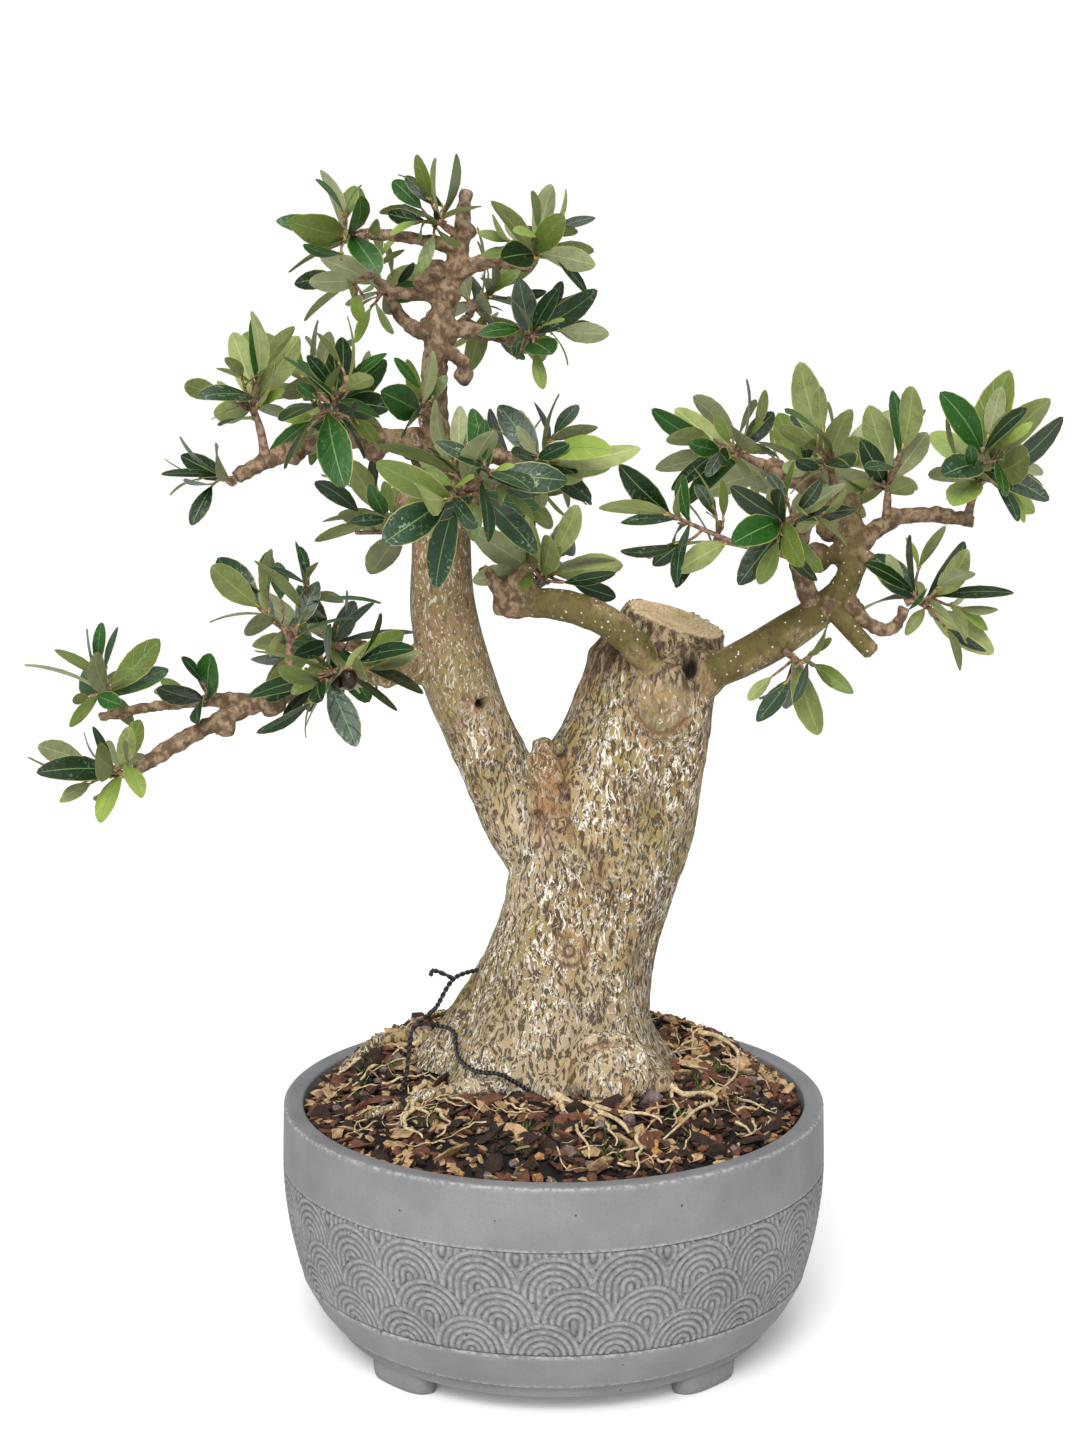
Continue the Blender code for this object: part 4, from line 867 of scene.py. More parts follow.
def leaf_material(name, colour, vein, bloom, roughness):
    """Olive leaf: a waxy dark upper side with a whitish bloom rubbed off in places, or a matt felted underside.
    """
    material, tree, shader = new_material(name, roughness)
    across = add(tree, "SeparateXYZ", {0: add(tree, "UVMap", uv_map="leaf")}, output="X")
    along = across.node.outputs["Y"]
    off = add(tree, "Math", {0: across, 1: 0.5}, operation="SUBTRACT")
    off = add(tree, "Math", {0: off}, operation="ABSOLUTE")
    # side veins leave the rib at a slant
    slant = add(tree, "Math", {0: off, 1: -4.0}, operation="MULTIPLY")
    slant = add(tree, "Math", {0: along, 1: 9.0, 2: slant}, operation="MULTIPLY_ADD")
    slant = add(tree, "Math", {0: slant, 1: 1.0}, operation="PINGPONG")
    veins = add(tree, "MapRange", {0: slant, 1: 0.0, 2: 0.14, 3: 0.3, 4: 0.0})
    spots = add(tree, "Math", {0: patches(tree, 1.6, 0.55, 0.66, 1.0, place=4.0),
                               1: patches(tree, 11, 0.46, 0.64, bloom, place=8.0)}, operation="MULTIPLY")
    found = coats(tree, colour,
                  (patches(tree, 6, 0.35, 0.7, 0.5), shade(vein, 0.7)),
                  (veins, vein),
                  (add(tree, "MapRange", {0: off, 1: 0.012, 2: 0.034, 3: 0.7, 4: 0.0}), shade(colour, 1.5)),
                  (add(tree, "MapRange", {0: off, 1: 0.455, 2: 0.49, 4: 0.75}), linear("a3a65c")),
                  (spots, linear("a9b8a2")))
    finish(tree, shader, found, (veins, -0.3), (patches(tree, 2.4, 0.2, 0.8), 0.14))
    return material


def earth_material(name, colour, size=3.0):
    """Broken natural matter, such as bark chips, pumice or humus: cloudy, matt and rough."""
    material, tree, shader = new_material(name, 0.9)
    found = coats(tree, colour,
                  (patches(tree, size, 0.35, 0.65), shade(colour, 0.55)),
                  (patches(tree, size * 0.5, 0.58, 0.7, 0.5, place=5.0), shade(colour, 1.7)))
    finish(tree, shader, found, (patches(tree, size / 3, 0.2, 0.8), 0.35))
    return material


def stoneware_material(look):
    """Cast unglazed stoneware: cool even grey, fine sand, a few pits with painted shade in them, painted shade
    in the grooves, and pale edges that are partly wear and partly painted highlight.
    """
    material, tree, shader = new_material("cast_stoneware", 0.74, 1.5)
    groove_shade = add(tree, "Attribute", output="Fac", attribute_name="groove_shade")
    wear_and_highlight = add(tree, "Attribute", output="Fac", attribute_name="wear_and_highlight")
    # pale edges and crests: partly wear, partly painted highlight, broken up in patches
    chips = add(tree, "Math", {0: wear_and_highlight, 1: patches(tree, 2.0, 0.4, 0.6, 0.9, place=6.0)}, operation="MULTIPLY")
    cells = add(tree, "TexVoronoi", {"Vector": add(tree, "TexCoord", output="Object"), "Scale": 1 / (12 * MM)})
    # painted shade: the small pits are dark inside
    pit = add(tree, "MapRange", {0: cells, 1: 0.035, 2: 0.05, 3: 0.85, 4: 0.0})
    colour = coats(tree, look.grey,
                   (patches(tree, 28, 0.3, 0.7, detail=5.0), look.grey_light),
                   (patches(tree, 0.9, 0.45, 0.72, 0.18, place=3.0), look.grey_dark),
                   # painted shade: darker in the grooves of the wave pattern and on the band's hidden back
                   # faces
                   (add(tree, "Math", {0: groove_shade, 1: 0.95}, operation="MULTIPLY"), look.groove_shade),
                   (chips, look.wear_and_highlight),
                   (pit, linear("2c2725")))
    finish(tree, shader, colour, (patches(tree, 1.1, 0.2, 0.8), 0.03), (pit, -0.4))
    return material


# -------------------------------------------------------------------------------------- soil ----
def inner_radius(level):
    """Radius of the bowl's inside at a level."""
    profile = [(RIM_RADIUS, RIM_HEIGHT), BAND_TOP, BAND_BELLY, BAND_BOTTOM, SHOULDER,
               (FLOOR_RADIUS + WALL, FLOOR_HEIGHT)]
    for (upper_radius, upper), (lower_radius, lower) in zip(profile, profile[1:]):
        if level >= lower:
            share = (level - lower) / (upper - lower)
            return lower_radius + (upper_radius - lower_radius) * share - WALL
    return FLOOR_RADIUS


def soil_level(direction, distance):
    """Level of the soil's surface: flat under the trunk, falling in gentle humps to the wall."""
    edge = inner_radius(SOIL_EDGE) - GAP
    share = min(max((distance - SEAT_RADIUS) / (edge - SEAT_RADIUS), 0), 1)
    swell = SOIL_SWELL * math.sin(math.pi * share) * math.sin(3 * direction + 0.8)
    return SOIL_SEAT + (SOIL_EDGE - SOIL_SEAT) * share ** 1.25 + swell


def ground(direction, distance):
    """Level of the soil with what is heaped up behind the trunk and beside its left root."""
    share = min(max((distance - 50) / 60, 0), 1)
    side = (math.degrees(direction) - 8) % 360
    turn = min(max(side / 22, 0), 1) * min(max((190 - side) / 25, 0), 1)
    return soil_level(direction, distance) + MOUND_HEIGHT * turn * math.sin(math.pi * share) ** 2


# ------------------------------------------------------------------------------------- wood ----
def trunk_ring(section, sides):
    """Points round the trunk at a level, with the buttresses of its foot and shallow flutes."""
    ring = []
    flare = max((FLARE_TOP - section.level) / (FLARE_TOP - TRUNK[0].level), 0) ** 1.6
    for side in range(sides):
        angle = 2 * math.pi * side / sides
        grown = (0.9 * math.sin(5 * angle + section.level / 26)
                 + 0.7 * math.sin(9 * angle - section.level / 40 + 1))
        for direction, reach, spread in BUTTRESSES:
            off = (math.degrees(angle) - direction + 180) % 360 - 180
            grown += reach * flare * math.exp(-(off / spread) ** 2)
        across = (section.right - section.left) / 2 + grown - 3 * flare
        deep = section.half_depth + grown - 3 * flare
        middle = (section.left + section.right) / 2
        ring.append(Vector((middle + across * math.cos(angle), section.middle + deep * math.sin(angle),
                            section.level)))
    return ring


def trunk_reach(direction, level):
    """Distance from the axis of the bowl to the trunk's surface."""
    index = next(step for step, section in enumerate(TRUNK) if section.level > level)
    lower, upper = TRUNK[index - 1], TRUNK[index]
    share = (level - lower.level) / (upper.level - lower.level)
    section = Section(*[low + (high - low) * share for low, high in zip(lower, upper)])
    out = Vector((math.cos(direction), math.sin(direction), 0))
    return max(point.dot(out) for point in trunk_ring(section, 40))


def root_places(name, count=24):
    """Points and radii along a root that lies on the soil."""
    root = ROOTS[name]
    places = []
    for step in range(count + 1):
        share = step / count
        direction = math.radians(bend(*[Vector((angle, 0)) for angle in root.directions], share)[0])
        distance = bend(*[Vector((away, 0)) for away in root.distances], share)[0]
        radius = root.radius + (root.tip_radius - root.radius) * share
        radius *= 1 + 0.12 * math.sin(19 * share + len(name))
        places.append((polar(direction, distance, ground(direction, distance) + 1.1 * radius), radius))
    return places


def saw_turn():
    """Turn of the sawn face: down to the right, and a little forwards."""
    return Matrix.Rotation(math.radians(SAW_LEAN), 3, "X") @ Matrix.Rotation(math.radians(SAW_TILT), 3, "Y")


def wood_shells():
    """All the limbs as overlapping closed tubes."""
    heap = Heap()
    rows = [spline(TRUNK, step / 60) for step in range(61)]
    angles = [2 * math.pi * side / 96 for side in range(96)]
    saw = [Vector(SAW_CENTRE) + saw_turn() @ Vector((SAW_RADII[0] * math.cos(a), SAW_RADII[1] * math.sin(a), 0))
           for a in angles]
    heap.rings([trunk_ring(Section(*row), 96) for row in rows] + [saw])
    heap.tube([fork_place(step / 110) for step in range(111)], 40)
    for name in BOUGHS:
        heap.tube([limb_place(name, step / 28) for step in range(29)], 24)
    start, end, radius, tip_radius = CUT_STUB
    heap.tube([(Vector(start), radius), (Vector(end), tip_radius)], 20)
    for start, end, radius in STUBS:
        heap.tube([(Vector(start), radius), (Vector(end), 0.85 * radius)], 16)
    ridge = [spline(COLUMN, step / 20) for step in range(21)]
    heap.tube([(Vector(place[:3]), place[3]) for place in ridge], 16)
    for name in ROOTS:
        heap.tube(root_places(name), 14)
    return heap


def off_rod(points, start, end, least=0.0):
    """Way to each point from the nearest place on a rod, counted from a share of its length on."""
    start, end = np.array(start), np.array(end)
    along = end - start
    share = np.clip((points - start) @ along / (along @ along), least, 1)
    return points - start - share[:, None] * along


def nearest_limb(points):
    """Name and thickness of the limb nearest to each point."""
    rods = limb_rods(10)
    best = np.full(len(points), 1e9)
    found = np.zeros(len(points), int)
    for index, (start, end, radius, _) in enumerate(rods):
        away = np.linalg.norm(off_rod(points, start, end), axis=1) - radius
        closer = away < best
        best[closer] = away[closer]
        found[closer] = index
    return np.array([rod[3] for rod in rods])[found], np.array([rod[2] for rod in rods])[found]


def near_spot(points, spot, size, strength=1.0):
    """1 at a spot and 0 from size on, with size in millimetres across, deep and up; strength widens the 1."""
    away = np.linalg.norm((points - np.array(spot)) / np.array(size), axis=1)
    return np.clip(strength * (1 - smooth_step(0, 1, away)), 0, 1)


def line_mark(values, middle, inner, outer):
    """1 where values are within inner of middle, and 0 beyond outer."""
    return 1 - smooth_step(inner, outer, np.abs(values - middle))


def carve_wood(mesh, depth):
    """Work the bark's relief, wounds and folds into the wood, and mark where each finish lies."""
    points = mesh_points(mesh)
    normals = np.empty(points.size)
    mesh.vertex_normals.foreach_get("vector", normals)
    normals = normals.reshape(-1, 3)
    names, thick = nearest_limb(points)
    level = points[:, 2]
    trunk = (names == "trunk").astype(float)
    leader = (names == "leader").astype(float)
    callus = near_spot(points, *CALLUS_SKIN)
    gnarled = near_spot(points, *FORK_RIDGE)
    stub = 1 - smooth_step(4.8, 6.5, np.linalg.norm(off_rod(points, *CUT_STUB[:2], 0.25), axis=1))
    # old bark on the trunk and the leader's foot, thin bark on the thin boughs and the leader's top
    old = np.clip(trunk + leader * (1 - smooth_step(262, 310, level)), 0, 1)
    old *= 1 - 0.75 * near_spot(points, *EYE_KNOT)
    old *= 1 - 0.85 * callus
    thin = (1 - trunk) * np.clip(1 - smooth_step(4.6, 6.0, thick) + leader * smooth_step(365, 385, level), 0, 1)
    thin = np.maximum(thin, 1 - smooth_step(10, 20, np.linalg.norm(points - np.array(KNOTTY_END), axis=1)))
    thin *= 1 - stub
    # green bark on the stout boughs of the sawn stump, paler on the callus under them
    green = np.isin(names, GREEN_LIMBS).astype(float)
    green = np.maximum(np.maximum(green, 0.6 * callus), stub)
    green *= 0.35 + 0.6 * smooth_step(0.3, 0.55, 0.5 + turbulence(points, 14, 1, 77))
    saw_normal = np.array(saw_turn() @ Vector((0, 0, 1)))
    over = (points - np.array(SAW_CENTRE)) @ saw_normal
    sawn = smooth_step(-1.0, -0.2, over) * smooth_step(0.75, 0.92, normals @ saw_normal) * trunk
    bare = trunk * smooth_step(297, 302, level + 9 * turbulence(points, 9, 1, 4)) * (1 - sawn)
    # the relief: broad swellings, knotty thin boughs, the gnarled ridge, weathered wood and fluted old bark
    push = (0.9 * turbulence(points, 24, 1.6) * np.clip(thick / 12, 0.15, 1)
            + 0.5 * turbulence(points, 9, 2.2, 5) * np.clip(thick / 14, 0.1, 1))
    knotty = (1 - smooth_step(5, 8, thick)) + 0.6 * leader * smooth_step(372, 392, level)
    push += np.clip(knotty - stub, 0, 1) * (1.1 * np.clip(turbulence(points, 7, 1, 41), 0, 1)
                                            + 0.9 * turbulence(points, 2.8, 1, 51))
    push += gnarled * (1.8 * turbulence(points, 5, 2.5, 61) + 1.1 * turbulence(points, 2.6, 1.6, 67))
    push += bare * 0.9 * turbulence(points, 2.8, 9, 55)
    push += old * (0.55 * turbulence(points, 6.5, 7, 9) - 0.5 * np.abs(turbulence(points, 5, 4, 17)) + 0.2)
    push += old * 0.22 * smooth_step(0.02, 0.3, turbulence(points, 2.2, 3, 31))
    # painted shade: near black inside the deep knot holes, at the bottoms of the deepest folds and in a thin
    # ring round the eye-shaped knot
    hole_shade = np.zeros(len(points))
    cork = np.zeros(len(points))
    for spot, size, deep, lip in WOUNDS:
        inner = near_spot(points, spot, [part * 1.25 for part in size])
        outer = near_spot(points, spot, [part * 2.3 for part in size])
        push += lip * outer - (deep + lip) * smooth_step(0.15, 0.7, inner)
        hole_shade = np.maximum(hole_shade, smooth_step(0.25, 0.6, inner) * (deep > DEEP_WOUND))
        cork = np.maximum(cork, 0.3 * smooth_step(0.25, 0.7, outer) * (1 - hole_shade) * (deep > DEEP_WOUND))
    for spot, size, rise in BULGES:
        push += rise * near_spot(points, spot, size)
    for start, end, width, deep in FOLDS:
        off = off_rod(points, start, end)
        off += 1.2 * turbulence(points, 8, 1, 3)[:, None]
        near = 1 - smooth_step(0, width, np.linalg.norm(off, axis=1))
        push -= deep * near
        cork = np.maximum(cork, 0.8 * near)
        old *= 1 - 0.6 * near
        hole_shade = np.maximum(hole_shade, 0.85 * (deep > DEEP_FOLD) * smooth_step(0.35, 0.8, near))
    # brown creases round the eye-shaped knot, the inner one with a thin line of painted shade
    away = np.linalg.norm((points - np.array(RIDGES[0][0])) * np.array((1, 0.4, 1)), axis=1)
    push += 0.9 * line_mark(away, 0, 0, 1.6)
    cork = np.maximum(cork, 0.8 * line_mark(away, 2.4, 0.3, 1.1))
    cork = np.maximum(cork, 0.6 * line_mark(away, 7.2, 0.4, 1.6))
    hole_shade = np.maximum(hole_shade, 0.7 * line_mark(away, 2.3, 0.2, 0.9) * trunk)
    cork = np.maximum(cork, 0.7 * gnarled)
    pale = np.maximum(near_spot(points, *PALE_FOOT), near_spot(points, *PALE_FORK))
    push *= (1 - sawn) * smooth_step(TRUNK[0].level, 124, level) * depth
    mesh.vertices.foreach_set("co", scene_places(points + normals * push[:, None]).ravel())
    marks = {"old": old, "green": green, "thin": thin, "sawn": sawn, "bare": bare, "hole_shade": hole_shade, "cork": cork,
             "pale": pale}
    for name, values in marks.items():
        write_attribute(mesh, name, values)
    mesh.update()


# -------------------------------------------------------------------------------------- bowl ----
def spin_profile(name, profile, steps):
    """A body of revolution about the bowl's axis, from (radius, level) points."""
    mesh = bpy.data.meshes.new(name)
    points = [(AXIS.x + radius * MM, AXIS.y, level * MM) for radius, level in profile]
    mesh.from_pydata(points, [(index, index + 1) for index in range(len(points) - 1)], [])
    thing = put_in_scene(name, mesh)
    choose(thing)
    bpy.ops.object.mode_set(mode="EDIT")
    bpy.ops.mesh.select_all(action="SELECT")
    bpy.ops.mesh.spin(steps=steps, angle=2 * math.pi, center=AXIS, axis=(0, 0, 1))
    bpy.ops.mesh.select_all(action="SELECT")
    bpy.ops.mesh.remove_doubles(threshold=0.00001)
    bpy.ops.mesh.normals_make_consistent(inside=False)
    bpy.ops.object.mode_set(mode="OBJECT")
    bpy.ops.object.shade_smooth_by_angle(angle=math.radians(35))
    return thing


def wave_relief(around, level):
    """Height, 0 to 1, of the overlapping wave scales at places on the band."""
    pitch = 2 * math.pi * BAND_BELLY[0] / SCALE_COUNT
    reach = 0.54 * pitch
    arc_width = reach / (SCALE_ARCS + 0.6)
    height = np.zeros_like(level)
    claimed = np.zeros(level.shape, bool)
    for base, shift, drop in SCALE_ROWS:
        place = around / pitch - shift
        number = np.floor(place + 0.5)
        off = (place - number) * pitch
        # each scale was pressed by hand, so no two stand quite alike
        lift = 0.9 * np.sin(number * 2.3 + base)
        over = level - base - lift
        away = np.hypot(off, np.where(over > 0, over * 1.02, drop * over))
        inside = (away < reach) & ~claimed
        step = (reach - away) / arc_width
        arc = np.clip(1 - (2 * (step % 1) - 1) ** 2, 0, 1) ** 0.45
        cap = np.clip(1 - (away / (reach - SCALE_ARCS * arc_width)) ** 2, 0, 1) ** 0.5
        height = np.where(inside, np.where(step < SCALE_ARCS, arc, cap), height)
        claimed |= inside
    return height


# ------------------------------------------------------------------------------------ leaves ----
def leaf_shape(leaf, rng):
    """Points, faces, sides and map of one leaf: a creased, bowed blade with a narrow rib."""
    base, along, face, length = leaf
    across = along.cross(face)
    half = LEAF_SLIM * length / 2 * rng.uniform(0.92, 1.2)
    wide_at = rng.uniform(0.46, 0.62)
    blunt = rng.uniform(0.5, 0.66)
    bow = rng.uniform(0.02, 0.075)
    crease = rng.uniform(0.05, 0.2)
    curl = rng.uniform(-0.06, 0.06)
    thick = 0.012 * length + 0.12

    def place(share, side, under=False):
        """Point on the blade; side runs from -1 to 1 across the widest part."""
        lift = 4 * bow * length * share * (1 - share) - 0.05 * length * share ** 3
        lift += crease * half * (abs(side) - 0.4) * math.sin(math.pi * share)
        body = -0.5 * thick if under else thick * (1 - side * side)
        bend_side = curl * length * share * share
        return base + along * length * share + across * (half * side + bend_side) + face * (lift + body)

    widths = []
    for share in LEAF_ROWS:
        part = share / wide_at if share < wide_at else (1 - share) / (1 - wide_at)
        widths.append(math.sin(part * math.pi / 2) ** (0.95 if share < wide_at else blunt))
    points = [place(0, 0)]
    maps = [(0.5, 0.0)]
    for share, width in zip(LEAF_ROWS, widths):
        for side in LEAF_ACROSS:
            points.append(place(share, side * width))
            maps.append((0.5 + 0.5 * side, share))
    points.append(place(1.0, 0))
    maps.append((0.5, 1.0))
    tip = len(points) - 1
    for share in LEAF_ROWS:
        points.append(place(share, 0.0, True))
        maps.append((0.5, share))
    faces = []
    sides = []
    wide = len(LEAF_ACROSS)
    for index in range(wide - 1):
        kind = 2 if index == 2 else 0
        faces.append((0, 1 + index, 2 + index))
        sides.append(kind)
        for row in range(len(LEAF_ROWS) - 1):
            low = 1 + row * wide + index
            faces.append((low, low + wide, low + wide + 1, low + 1))
            sides.append(kind)
        low = 1 + (len(LEAF_ROWS) - 1) * wide + index
        faces.append((low, tip, low + 1))
        sides.append(kind)
    for row in range(len(LEAF_ROWS) - 1):
        left, right, middle = 1 + row * wide, wide + row * wide, tip + 1 + row
        faces.append((left, middle, middle + 1, left + wide))
        faces.append((middle, right, right + wide, middle + 1))
        sides += [1, 1]
    last = len(LEAF_ROWS) - 1
    faces += [(0, tip + 1, 1), (0, wide, tip + 1)]
    faces += [(1 + last * wide, tip + 1 + last, tip), (tip + 1 + last, wide + last * wide, tip)]
    sides += [1, 1, 1, 1]
    # turned over, so that they point outwards
    return points, [face[::-1] for face in faces], sides, maps


# ----------------------------------------------------------------------------------- settings ----
def colour_setting(name, description, code):
    """A colour that the user may change."""
    return bpy.props.FloatVectorProperty(name=name, description=description, default=linear(code),
                                         subtype="COLOR", size=4, min=0, max=1)


class BonsaiWoodSettings(bpy.types.PropertyGroup):
    grain: bpy.props.FloatProperty(name="Grain", description="Size of the faces that carry the bark's relief",
                                   default=0.00127, min=0.00126, unit="LENGTH", precision=5)
    depth: bpy.props.FloatProperty(name="Relief", description="Depth of the bark's relief, 1 as grown",
                                   default=1.0, min=0, max=1.5)
    old_dark: colour_setting("Old bark, dark", "Darker clouds of the old bark", "7a6340")
    old_light: colour_setting("Old bark, light", "Lighter clouds of the old bark", "a08960")
    algae: colour_setting("Algae", "Olive film on the old bark", "827640")
    # painted shade in the fine cracks of the old bark and of the bare wood
    foot: colour_setting("Foot", "Paler bark at the foot of the trunk", "b3a284")
    crack_shade: colour_setting("Cracks", "Fine cracks between the flecks", "403022")
    fleck: colour_setting("Flecks", "Pale flecks and pores", "e3dbcd")
    young_brown: colour_setting("Young bark, brown", "Brown parts of the young bark", "94795a")
    young_olive: colour_setting("Young bark, olive", "Olive parts of the young bark", "8a7850")
    young_green: colour_setting("Young bark, green", "Green parts of the stout boughs", "5a5124")
    twiggy: colour_setting("Thin boughs", "Brown bark of the thin boughs", "5e4834")
    twiggy_grey: colour_setting("Thin boughs, grey", "Grey parts of the thin boughs", "937c62")
    young_dark: colour_setting("Young bark, dark", "Dark spots of the young bark", "473a26")
    cork: colour_setting("Cork", "Orange-brown cork in folds", "8a5a33")
    bare_dark: colour_setting("Bare wood, dark", "Weathered wood under the saw cut", "54422f")
    bare_light: colour_setting("Bare wood, light", "Lighter streaks of the weathered wood", "9f8a6c")
    cut_light: colour_setting("Sawn wood", "The sawn face", "ecd4a8")
    cut_ring: colour_setting("Growth rings", "Rings on the sawn face", "c9a673")
    # painted shade inside the knot holes and the deepest folds
    hole_shade: colour_setting("Holes", "Inside of the knot holes", "0d0a08")


class BonsaiFoliageSettings(bpy.types.PropertyGroup):
    top_1: colour_setting("Upper side, deep", "Darkest leaves", "0f2709")
    top_2: colour_setting("Upper side, green", "Most leaves", "204912")
    top_3: colour_setting("Upper side, blue", "Bluish leaves", "1b361d")
    # the olive and young greens are also painted light: dealt more often to the sprays of the upper crown
    top_4: colour_setting("Upper side, olive", "Leaves in full light", "586828")
    top_5: colour_setting("Upper side, young", "Young leaves", "7b8f3e")
    rib: colour_setting("Rib", "Middle rib of a leaf", "566f40")
    under_1: colour_setting("Underside", "Felted underside", "929c5e")
    under_2: colour_setting("Underside, darker", "Felted underside in older leaves", "747f46")
    under_3: colour_setting("Underside, grey", "Felted underside in the shade", "8d9369")
    twig_light: colour_setting("Twig", "Light parts of the twigs", "987a66")
    twig_dark: colour_setting("Twig, dark", "Dark parts of the twigs", "604638")
    stalk: colour_setting("Leaf stalk", "Yellowish leaf stalks", "b59c50")
    olive: colour_setting("Olive", "Ripe fruit", "2e1b14")


class BonsaiBowlSettings(bpy.types.PropertyGroup):
    relief: bpy.props.FloatProperty(name="Relief", description="Height of the wave pattern", default=0.0013,
                                    min=0, max=0.002, unit="LENGTH", precision=4)
    grey: colour_setting("Grey", "Stoneware", "6f7072")
    grey_light: colour_setting("Grey, light", "Lighter clouds", "7b7c7e")
    grey_dark: colour_setting("Grey, dark", "Sand grains", "4d4f52")
    # painted shade in the grooves of the wave pattern
    groove_shade: colour_setting("Grooves", "Grooves of the wave pattern", "1f1f22")
    # pale edges and crests: partly wear, partly painted highlight
    wear_and_highlight: colour_setting("Worn edges", "Pale worn edges", "b4b5b5")


class BonsaiSoilSettings(bpy.types.PropertyGroup):
    chips: bpy.props.IntProperty(name="Chips", description="Number of bark chips", default=3600, min=0,
                                 max=8000)
    humus: colour_setting("Humus", "Ground between the chips", "100b08")
    bark_1: colour_setting("Bark chips, dark", "Dark bark chips", "33231a")
    bark_2: colour_setting("Bark chips, red", "Reddish bark chips", "6c4431")
    bark_3: colour_setting("Bark chips, tan", "Tan bark chips", "bb9a70")
    pumice: colour_setting("Pumice", "Orange pebbles", "b98550")
    stone: colour_setting("Lava", "Grey-purple pebbles", "7d6a66")
    moss: colour_setting("Moss", "Moss tufts", "5d7030")
    straw: colour_setting("Dry roots", "Pale dry roots", "dcc49a")
    wire: colour_setting("Wire", "Coated tie wire", "141312")


class BonsaiStageSettings(bpy.types.PropertyGroup):
    floor: colour_setting("Floor", "Plain pale floor", "fafafa")
    ambient: bpy.props.FloatProperty(name="Ambient light", description="Even light from all round",
                                     default=0.36, min=0)
    sun: bpy.props.FloatProperty(name="Front light", description="Strength of the broad front light",
                                 default=2.95, min=0)
    focal: bpy.props.FloatProperty(name="Focal length", description="Lens of the camera in millimetres",
                                   default=63.83, min=10)


# ---------------------------------------------------------------------------------- operators ----
class BONSAI_OT_wood(bpy.types.Operator):
    """Grow the trunk, leader, boughs and surface roots as one barked piece"""
    bl_idname = "bonsai.wood"
    bl_label = "Wood"

    def execute(self, context):
        look = context.scene.bonsai_wood
        parts = [wood_shells().piece("wood")]
        knuckles = [(centre, (radius,) * 3) for centre, radius in KNUCKLES]
        for centre, half in [*CALLUS, CALLUS_FACE, *LEADER_KNOBS, *knuckles]:
            deselect()
            bpy.ops.mesh.primitive_ico_sphere_add(subdivisions=3, radius=1, location=scene_place(centre),
                                                  scale=[part * MM for part in half])
            parts.append(context.object)
        for centre, radius, thick in RIDGES:
            deselect()
            bpy.ops.mesh.primitive_torus_add(major_segments=48, minor_segments=12, major_radius=radius * MM,
                                             minor_radius=thick * MM, location=scene_place(centre),
                                             rotation=(math.radians(86), 0, 0))
            parts.append(context.object)
        choose(*reversed(parts))
        bpy.ops.object.join()
        wood = context.object
        remesh = wood.modifiers.new("remesh", "REMESH")
        remesh.mode = "VOXEL"
        remesh.voxel_size = look.grain
        remesh.use_smooth_shade = True
        bpy.ops.object.modifier_apply(modifier=remesh.name)
        if len(wood.data.polygons) < 20000:
            raise RuntimeError("the wood was not joined")
        carve_wood(wood.data, look.depth)
        wood.data.materials.clear()
        wood.data.materials.append(bark_material(look))
        settle(wood, "bark", "trunk", "leader", *BOUGHS, *ROOTS)
        return {"FINISHED"}


